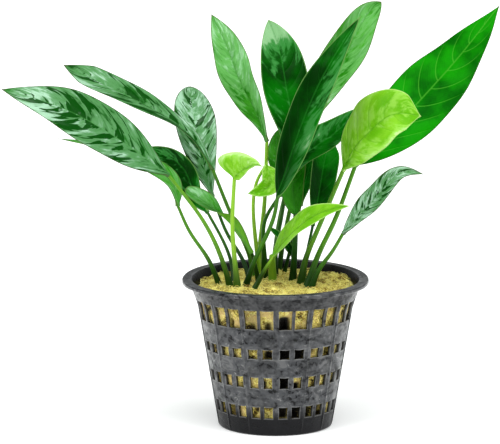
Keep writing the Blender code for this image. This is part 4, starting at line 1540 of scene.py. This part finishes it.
# The leaves from the left to the right, each in the place that the frame gives it.
LEAVES: tuple[Leaf, ...] = (
    Leaf(
        "far_left",
        Stalk(
            (-12.9, -6), ((-15, -7, 48.5), (-21.5, -9, 63)), tone=0.6, foot_radius=0.8, tip_radius=0.46,
            sheath=0.6,
        ),
        ((-31, -11, 76), (-45.5, -16, 87.5), (-62.5, -21, 97.5), (-78, -23, 102.5)), half=8.7,
        face_base=(0.35, -0.75, 0.57), face_tip=(0.4, -0.6, 0.68), green=Green.DEWY, lift=(2, 2),
        widest=0.49, full=2.0, painted_light=0.28,
        sheen_patches=(
            Patch(0.85, 0.0, 0.2, 1.4, 0.34), Patch(0.6, -0.5, 0.22, 0.5, 0.14),
            Patch(0.3, -0.8, 0.2, 0.3, 0.14), Patch(0.985, 0.3, 0.03, 1.0, -0.7),
        ),
        shades=(
            Patch(0.66, 0.2, 0.16, 0.6, 0.9), Patch(0.5, -0.6, 0.25, 0.3, 0.7),
            Patch(0.2, 0.2, 0.2, 1.0, -0.5),
        ),
    ),
    Leaf(
        "upper_left",
        Stalk(
            (-5.8, 9), ((-7, 10, 47), (-11, 9, 56.5)), tone=0.35, foot_radius=0.75, tip_radius=0.5,
            sheath=0.8, sheath_length=8.0, shade=0.3,
        ),
        ((-18.5, 7, 75), (-22.5, 8.5, 82), (-41.5, 13, 95), (-63, 20, 104.5)), half=6.0,
        face_base=(0.5, -0.25, 0.84), face_tip=(0.4, -0.7, 0.6), green=Green.DEWY, lift=(15, 2),
        widest=0.62, full=1.25, painted_light=0.40,
        sheen_patches=(
            Patch(0.55, 0.3, 0.14, 0.35, -0.22), Patch(0.97, 0.4, 0.05, 1.0, -0.3),
            Patch(0.25, -0.7, 0.3, 0.4, -0.6),
        ),
        shades=(Patch(0.55, 0.3, 0.15, 0.4, 0.8), Patch(0.8, 0.0, 0.2, 2.0, -0.6)), point=0.14,
    ),
    Leaf(
        "left_oval",
        Stalk(
            (-7.3, 2), ((-9.3, 5, 47.5), (-14, 9, 55)), tone=0.15, foot_radius=0.68, tip_radius=0.45,
            sheath=0.25,
        ),
        ((-18.5, 12, 66), (-22, 14, 77.5), (-24, 20, 87), (-25.5, 33, 96.5)), half=6.4,
        face_base=(0.15, -0.9, 0.45), face_tip=(0.1, -0.9, 0.45), green=Green.DEWY, lift=(18, 4),
        widest=0.6, full=1.7, painted_light=0.54, sheen_patches=(Patch(0.1, 0.0, 0.25, 1.0, -0.25),),
    ),
    Leaf(
        "left_dark",
        Stalk(
            (-12.3, -2), ((-13, 1, 48), (-15.5, 3, 54.5)), tone=0.2, foot_radius=0.65, tip_radius=0.42,
            sheath=0.25,
        ),
        ((-20, 5, 62.5), (-23.5, 7.5, 67), (-27, 10, 74.5), (-38, 14, 80.5)), half=3.8,
        face_base=(-0.3, -0.95, 0), face_tip=(-0.1, -1, 0), green=Green.DARK, lift=(10, 20), widest=0.52,
        full=1.6, painted_light=0.0, sheen_patches=(Patch(0.8, 0.3, 0.1, 0.4, 0.4),),
    ),
    Leaf(
        "low_left",
        Stalk(
            (-15.9, -4.2), ((-20, -6, 51), (-25, -6, 58.5)), tone=0.45, foot_radius=0.75, tip_radius=0.44,
            sheath=0.5,
        ),
        ((-28.5, -5, 66), (-29.6, -4, 71.8), (-36.7, -1, 76.7), (-48.5, 2, 81.5), (-64, 4, 84.7)),
        half=4.6, face_base=(0.35, -0.45, 0.8), face_tip=(0.35, -0.3, 0.9), green=Green.GROWN,
        lift=(12, 12), widest=0.4, full=2.2, painted_light=0.15,
    ),
    Leaf(
        "tall_left",
        Stalk(
            (-4.6, 17.3), ((-4.5, 16.5, 50.5), (-3.5, 15.5, 60)), tone=0.85, foot_radius=0.8,
            tip_radius=0.52, sheath=0.3, sheath_length=6.0, shade=0.0,
        ),
        ((-2.5, 13, 82.5), (-5.5, 14, 90.5), (-10, 16, 99), (-14, 20, 109), (-19, 26, 119)), half=5.4,
        face_base=(-0.5, -0.85, -0.15), face_tip=(0.05, -1, 0.1), green=Green.GROWN, lift=(4, 14),
        widest=0.52, full=2.0, painted_light=0.38,
        sheen_patches=(Patch(0.6, 0.5, 0.4, 0.45, 0.22), Patch(0.2, -0.3, 0.25, 0.9, -0.4)), ripple=0.5,
        ripples=3.2,
    ),
    Leaf(
        "tall_dark",
        Stalk(
            (0.2, 11.6), ((0.2, 12, 50), (2.0, 11, 61)), tone=0.15, foot_radius=0.7, tip_radius=0.5,
            sheath=0.3,
        ),
        ((3.5, 10, 79), (5, 10, 87), (3.5, 12, 97.5), (1.5, 16, 108), (-2, 24, 117.5)), half=7.0,
        face_base=(-0.1, -1, 0.1), face_tip=(0.05, -1, 0.1), green=Green.DARK, lift=(10, 10), widest=0.5,
        full=1.7, painted_light=-0.05, sheen_patches=(Patch(1.0, 0.0, 0.2, 3.0, 1.3), Patch(0.62, -0.4, 0.08, 0.2, 0.3)),
    ),
    Leaf(
        "centre_dark",
        Stalk(
            (-9.2, -5.6), ((-5.9, -8, 51), (-1.7, -10, 60.5), (-0.3, -11, 65)), tone=0.3, foot_radius=0.8,
            tip_radius=0.55, sheath=0.5,
        ),
        ((0.5, -12, 70), (6, -16, 88), (13.5, -18, 106), (24, -15, 122.5)), half=6.0,
        face_base=(-0.65, -0.7, 0.3), face_tip=(-0.45, -0.85, 0.25), green=Green.DARK, lift=(4, 4),
        widest=0.4, full=1.65, painted_light=-0.05,
        sheen_patches=(Patch(0.5, 0.6, 0.45, 0.45, 0.34), Patch(0.4, -0.5, 0.6, 0.5, -0.35)),
        shades=(Patch(0.3, -0.6, 0.4, 0.7, 0.85), Patch(0.15, 0.3, 0.15, 1.0, 0.6)),
    ),
    Leaf(
        "tall_back",
        Stalk(
            (-1, 15.6), ((0.5, 15, 54), (3.5, 14.5, 68)), tone=0.4, foot_radius=0.7, tip_radius=0.5,
            sheath=0.3,
        ),
        ((7.5, 14, 78.5), (11.5, 17, 94), (21, 22, 107.5), (27.5, 28, 118.5), (32, 34, 122)), half=6.3,
        face_base=(-0.4, -0.85, 0.4), face_tip=(-0.15, -0.95, 0.25), green=Green.GROWN, lift=(8, 12),
        widest=0.54, full=1.7, painted_light=0.22, sheen_patches=(Patch(0.5, 0.6, 0.4, 0.5, 0.1),),
        shades=(Patch(0.5, -0.8, 0.5, 0.4, 0.6),), ripple=0.5, ripples=3.0,
    ),
    Leaf(
        "far_right",
        Stalk(
            (8.8, -6.4), ((12.2, -5, 51), (16.7, -2, 60)), tone=0.5, foot_radius=0.9, tip_radius=0.6,
            sheath=0.6, sheath_length=7.0,
        ),
        ((23.5, 5, 76.5), (32, 8, 84), (41.5, 15, 93), (54, 21, 106), (67, 27, 121.5)), half=10.0,
        face_base=(-0.1, -0.95, 0.3), face_tip=(-0.5, -0.65, 0.55), green=Green.BRIGHT, lift=(2, 2),
        widest=0.47, full=2.0, painted_light=-0.3, ripple=0.35, ripples=3.4,
    ),
    Leaf(
        "lime_right",
        Stalk(
            (7.2, -1.8), ((8.6, -2.3, 49), (11.5, -3.5, 57)), tone=0.6, foot_radius=0.9, tip_radius=0.6,
            sheath=0.6, sheath_length=7.0,
        ),
        ((19.5, -8, 77), (22.5, -12, 84), (27, -15, 89.5), (33.5, -17, 94.5), (41.5, -17, 94)), half=9.8,
        face_base=(-0.5, -0.6, 0.65), face_tip=(-0.5, -0.55, 0.65), green=Green.YOUNG, lift=(18, 2),
        widest=0.57, full=1.75, painted_light=0.10,
        sheen_patches=(Patch(0.3, -0.8, 0.3, 0.4, 0.2), Patch(0.7, 0.95, 0.3, 0.12, 0.6)),
        shades=(Patch(0.6, -0.3, 0.3, 0.6, 0.3),), ripple=0.2, ripples=3.0, curl=(0.0, 0.5), point=0.12,
    ),
    Leaf(
        "right_shaded",
        Stalk(
            (-3.2, 6.6), ((-3.3, 4.5, 50), (-3, 1, 61)), tone=0.15, foot_radius=0.8, tip_radius=0.48,
            sheath=0.5, sheath_length=10.0,
        ),
        ((1, -2, 68.5), (6, -3, 78.5), (17, -2, 87), (25, 0, 94.5)), half=5.8, face_base=(-0.5, -0.5, 0.7),
        face_tip=(-0.25, -0.85, 0.45), green=Green.DARK, lift=(14, 20), widest=0.45, full=1.7, painted_light=0.02,
        sheen_patches=(Patch(0.6, -0.5, 0.3, 0.3, 0.25),),
    ),
    Leaf(
        "centre_upright",
        Stalk((5, 5.2), ((5.5, 4.5, 48),), tone=0.12, foot_radius=1.0, tip_radius=0.8, sheath=0.3),
        ((6, 3, 62), (5, 2, 72.5), (6.5, 3, 82.5), (8, 4, 92)), half=4.0, face_base=(-0.25, -0.95, 0.25),
        face_tip=(-0.2, -0.95, 0.25), green=Green.GROWN, lift=(12, 16), widest=0.4, full=1.5, painted_light=-0.3,
    ),
    Leaf(
        "back_upright",
        Stalk((2.4, 15.4), ((4.5, 14, 50),), tone=0.15, foot_radius=0.6, tip_radius=0.4, sheath=0.2),
        ((7.5, 14, 63), (8.5, 15, 68.5), (10.5, 17.5, 76), (12, 20.5, 83.5)), half=2.8,
        face_base=(-0.2, -0.9, 0.35), face_tip=(-0.2, -0.9, 0.35), green=Green.DARK, lift=(12, 16),
        widest=0.55, full=1.6, painted_light=-0.3,
    ),
    Leaf(
        "right_upright",
        Stalk((8.4, 3.6), ((9, 3.5, 48.5),), tone=0.08, foot_radius=0.6, tip_radius=0.42, sheath=0.2),
        ((11, 5, 58.5), (13, 8, 68.5), (15.5, 13, 81), (17, 19, 84)), half=4.8, face_base=(0.4, -0.9, 0),
        face_tip=(0.3, -0.95, 0.05), green=Green.DARK, lift=(20, 4), widest=0.55, full=1.7, painted_light=-0.3,
    ),
    Leaf(
        "front_lance",
        Stalk(
            (-0.7, 3.4), ((-0.9, 2, 45),), tone=0.85, foot_radius=1.15, tip_radius=0.95, sheath=0.4,
            sheath_length=6.0, shade=0.4,
        ),
        ((-1, -1, 50), (4, -9, 58), (12.5, -18, 66), (21, -26, 69.5)), half=4.2,
        face_base=(-0.65, -0.4, 0.65), face_tip=(-0.6, -0.6, 0.5), green=Green.YOUNG, lift=(20, 12),
        widest=0.36, full=1.6, painted_light=0.0,
    ),
    Leaf(
        "low_right",
        Stalk(
            (10, -9.4), ((12.5, -10, 48), (16, -10.5, 53)), tone=0.45, foot_radius=0.8, tip_radius=0.5,
            sheath=0.4,
        ),
        ((19.5, -11, 59), (25, -14, 66), (30.5, -18, 73), (36, -21, 78.5), (42, -22, 78)), half=3.6,
        face_base=(-0.7, -0.6, 0.4), face_tip=(-0.2, -0.95, 0.2), green=Green.DEWY, lift=(20, 14),
        widest=0.42, full=1.7, painted_light=0.48,
    ),
    Leaf(
        "heart",
        Stalk(
            (-11, -10), ((-12, -10.5, 51.5), (-12.6, -12, 61.5)), tone=0.9, foot_radius=0.85,
            tip_radius=0.52, sheath=0.6, sheath_length=6.0, shade=0.85,
        ),
        (
            (-12, -12.5, 75.5), (-10.9, -14, 76.9), (-9.1, -15.5, 78.5), (-7.2, -18, 79.8),
            (-5.2, -20.5, 80.4), (-3.7, -22, 80.1),
        ),
        half=7.3, face_base=(-0.1, -1, 0.1), face_tip=(0.1, -0.9, 0.4), green=Green.YOUNG, lift=(10, 10),
        widest=0.15, full=2.0, painted_light=0.14,
        sheen_patches=(Patch(0.75, -0.5, 0.2, 0.6, 0.4), Patch(0.4, -0.95, 0.6, 0.12, 0.7)), curl=(0.9, 0.2),
        sides=(1.0, 0.22),
    ),
    Leaf(
        "young_curl",
        Stalk(
            (-4.4, 13), ((-6.3, 11, 58), (-5, 10.5, 72)), tone=1.1, foot_radius=0.75, tip_radius=0.45,
            sheath=0.2, sheath_length=6.0, shade=0.0,
        ),
        ((-2.8, 9, 75.9), (-1.5, 6.5, 73.3), (-1.4, 5, 70.9), (-4, 3.5, 69.2), (-8.2, 2, 68.6)), half=2.9,
        face_base=(0.2, -0.95, 0.2), face_tip=(-0.2, -0.85, 0.5), green=Green.YOUNG, lift=(10, 25),
        widest=0.42, full=1.7, painted_light=0.12, sides=(1.0, 1.1),
    ),
    Leaf(
        "twisted",
        Stalk((-4.9, 3), ((-5.5, 1.5, 45),), tone=0.15, foot_radius=0.7, tip_radius=0.5, sheath=0.3),
        ((-7, -1, 51.5), (-11.5, -2.5, 59), (-20, -4, 66.5), (-26.5, -5, 71)), half=3.4,
        face_base=(0.3, 0.9, 0.35), face_tip=(0.2, -0.8, 0.6), green=Green.GROWN, lift=(25, 15),
        widest=0.7, full=1.5, painted_light=0.2, sheen_patches=(Patch(0.9, 0.4, 0.15, 0.5, 0.5),),
        shades=(Patch(0.6, -0.6, 0.3, 0.6, 0.9),),
    ),
    Leaf(
        "back_hidden",
        Stalk((0.9, 18.6), ((2.5, 19, 51.5),), tone=0.4, foot_radius=0.85, tip_radius=0.6, sheath=0.3),
        ((5, 18, 64), (3, 18.5, 71), (0.5, 19, 78), (1, 21, 85)), half=3.0, face_base=(-0.4, -0.9, 0),
        face_tip=(-0.2, -1, 0), green=Green.GROWN, lift=(6, 12), widest=0.55, full=1.7, painted_light=0.0,
    ),
    Leaf(
        "blue_slip",
        Stalk((6.2, 9), ((5.8, 8.5, 44),), tone=0.1, foot_radius=0.7, tip_radius=0.5, sheath=0.1),
        ((5.5, 7.5, 48), (4, 5.5, 52), (1.5, 4, 55.5), (-2, 3, 58.5)), half=1.3,
        face_base=(-0.3, -0.8, 0.5), face_tip=(-0.3, -0.8, 0.5), green=Green.DARK, lift=(10, 12),
        widest=0.5, full=1.5, painted_light=0.0,
    ),
)


@dataclass
class YoungShoot:
    """A rolled leaf that hasn't opened: a slim spear whose edge winds round it once."""

    path: tuple[Triple, ...] = (
        (-7.6, -9.6, 39.2), (-7, -9.6, 41), (-5.4, -9.2, 44), (-2.8, -9.4, 48.5), (-0.5, -10, 52.5),
    )
    radii: tuple[float, ...] = (0.85, 0.8, 0.72, 0.55, 0.1)

    def form(self) -> Form:
        """Rings along the path whose radius steps by a sixth at the rolled edge.

        Returns:
            The closed form with the stalk's values.
        """
        t = np.linspace(0, 1, 60)
        place, along = natural_spline(self.path, t)
        side, up = ring_frame(along)
        turn = np.linspace(0, 2 * np.pi, 32, endpoint=False)
        radius = np.interp(t, np.linspace(0, 1, len(self.radii)), self.radii)[:, None]
        roll = ((turn[None, :] / (2 * np.pi) + 0.9 * t[:, None]) % 1.0)
        radius = radius * (0.9 + 0.16 * smooth(0.0, 0.85, roll) - 0.16 * smooth(0.85, 1.0, roll))
        ring = side[:, None] * (radius * np.cos(turn))[..., None]
        ring = ring + up[:, None] * (radius * np.sin(turn))[..., None]
        kept = np.stack([t[:, None] + 0 * turn, roll, 0.62 + 0.35 * t[:, None] + 0 * turn], -1)
        dark = 0.95 * smooth(53.0, 46.0, place[:, 2])[:, None, None] + 0 * turn[:, None]
        return Form.closed_rings(place[:, None] + ring, {"stalk_place": kept, "stalk_shade": dark})

    def build(self, finish: bpy.types.Material) -> bpy.types.Object:
        """Builds the shoot and dresses it."""
        return self.form().piece("young_shoot_roll", finish, "young_shoot")


@dataclass
class Plant:
    """The whole plant: the rootstock in the wool, the leaves that rise from it, and one shoot."""

    rootstocks: tuple[Rootstock, ...] = (
        Rootstock("rhizome_left", (-11.3, -6.6), 6.6, 5.6, 0),
        Rootstock("rhizome_middle", (-2.5, 10), 10.5, 5.5, 71.3),
        Rootstock("rhizome_right", (8.3, 1), 12.0, 4.3, 95),
    )
    leaves: tuple[Leaf, ...] = LEAVES
    shoot: YoungShoot = field(default_factory=YoungShoot)

    def build(self) -> list[bpy.types.Object]:
        """Builds the rootstock, every leaf and the shoot and dresses them.

        Returns:
            All of the plant's pieces.
        """
        bark, skin = RootstockFinish().material(), StalkFinish().material()
        blades = {green: green.value.material() for green in Green}
        pieces = [root.build(bark) for root in self.rootstocks]
        for leaf in self.leaves:
            pieces += leaf.build(blades, skin)
            LOG.info("leaf %s: %d corners", leaf.name, len(pieces[-2].data.vertices))
        return pieces + [self.shoot.build(skin)]


# -----------------------------------------------------------------------------------------------------------
# The studio
# -----------------------------------------------------------------------------------------------------------


@dataclass(frozen=True)
class SoftLight:
    """A broad even light: where it comes from in degrees, how strong it is and how wide it looks."""

    name: str
    azimuth: float
    elevation: float
    strength: float
    width: float


@dataclass
class Studio:
    """A pale floor, soft light from above and both sides, and the camera.

    Attributes:
        aim: What the camera looks at.
        distance: How far off it stands.
        elevation: How high it looks from, in degrees.
        lens: Its lens in mm.
        sky: How bright the surroundings are.
        floor_side: Half of the floor's side in metres.
        lights: The broad lights.
    """

    aim: Triple = (-7.5, 0.0, 60.5)
    distance: float = 900.0
    elevation: float = 9.5
    lens: float = 220.9
    sky: float = 0.42
    floor_side: float = 8.0
    lights: tuple[SoftLight, ...] = (
        SoftLight("light_above", 20.0, 72.0, 2.2, 55.0),
        SoftLight("light_left", -50.0, 38.0, 1.3, 28.0),
        SoftLight("light_right", 55.0, 30.0, 0.8, 35.0),
    )

    def camera(self) -> bpy.types.Object:
        """Sets up the camera: distance away from the aim, straight in front and raised by its elevation.

        Returns:
            The camera.
        """
        rise = math.radians(self.elevation)
        aim = Vector(self.aim) * MM
        offset = Vector((0.0, -math.cos(rise), math.sin(rise))) * self.distance * MM
        data = bpy.data.cameras.new("camera")
        data.lens, data.sensor_width, data.clip_start, data.clip_end = self.lens, 36.0, 0.01, 50.0
        made = add_object("camera", data)
        made.location = aim + offset
        made.rotation_euler = (-offset).to_track_quat("-Z", "Y").to_euler()
        bpy.context.scene.camera = made
        return made

    def light(self, kind: SoftLight) -> bpy.types.Object:
        """Sets up one broad light; azimuth 0 comes from the front and 90 from the right.

        Args:
            kind: The light's values.

        Returns:
            The light.
        """
        data = bpy.data.lights.new(kind.name, "SUN")
        data.energy, data.angle = kind.strength, math.radians(kind.width)
        made = add_object(kind.name, data)
        turn, rise = math.radians(kind.azimuth), math.radians(kind.elevation)
        source = Vector((math.sin(turn) * math.cos(rise), -math.cos(turn) * math.cos(rise), math.sin(rise)))
        made.rotation_euler = (-source).to_track_quat("-Z", "Y").to_euler()
        return made

    def floor(self) -> bpy.types.Object:
        """A large pale sheet under the pot.

        Returns:
            The floor.
        """
        side = self.floor_side
        mesh = bpy.data.meshes.new("studio_floor")
        square = [(-side, -side, 0), (side, -side, 0), (side, side, 0), (-side, side, 0)]
        mesh.from_pydata(square, [], [[0, 1, 2, 3]])
        s = Shader("floor paper")
        paper = {
            "Base Color": s.mix(s.noise(s.place(), 6.0, 2.0), (0.90, 0.91, 0.905), (0.92, 0.925, 0.925)),
            "Roughness": 0.9,
            "Specular IOR Level": 0.0,
            "Emission Color": (1.0, 1.0, 1.0),
            "Emission Strength": 0.2,
        }
        mesh.materials.append(s.finish(paper))
        made = add_object("studio_floor", mesh)
        return made

    def build(self) -> None:
        """Sets up the surroundings, the lights, the floor and the camera."""
        scene = bpy.context.scene
        scene.view_settings.view_transform = "Standard"
        world = bpy.data.worlds.new("soft surroundings")
        world.use_nodes = True
        back = world.node_tree.nodes["Background"]
        back.inputs["Color"].default_value = (0.97, 1.0, 1.0, 1.0)
        back.inputs["Strength"].default_value = self.sky
        scene.world = world
        for kind in self.lights:
            self.light(kind)
        self.floor()
        self.camera()


def main() -> None:
    """Builds every sub-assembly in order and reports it."""
    logging.basicConfig(level=logging.INFO, format="%(name)s: %(message)s")
    Studio().build()
    pot = NetPot()
    LOG.info("pot: %d corners", len(pot.build().data.vertices))
    for piece in StoneWool(pot).build():
        LOG.info("wool %s: %d corners", piece.name, len(piece.data.vertices))
    LOG.info("plant: %d pieces", len(Plant().build()))


if __name__ == "__main__":
    main()
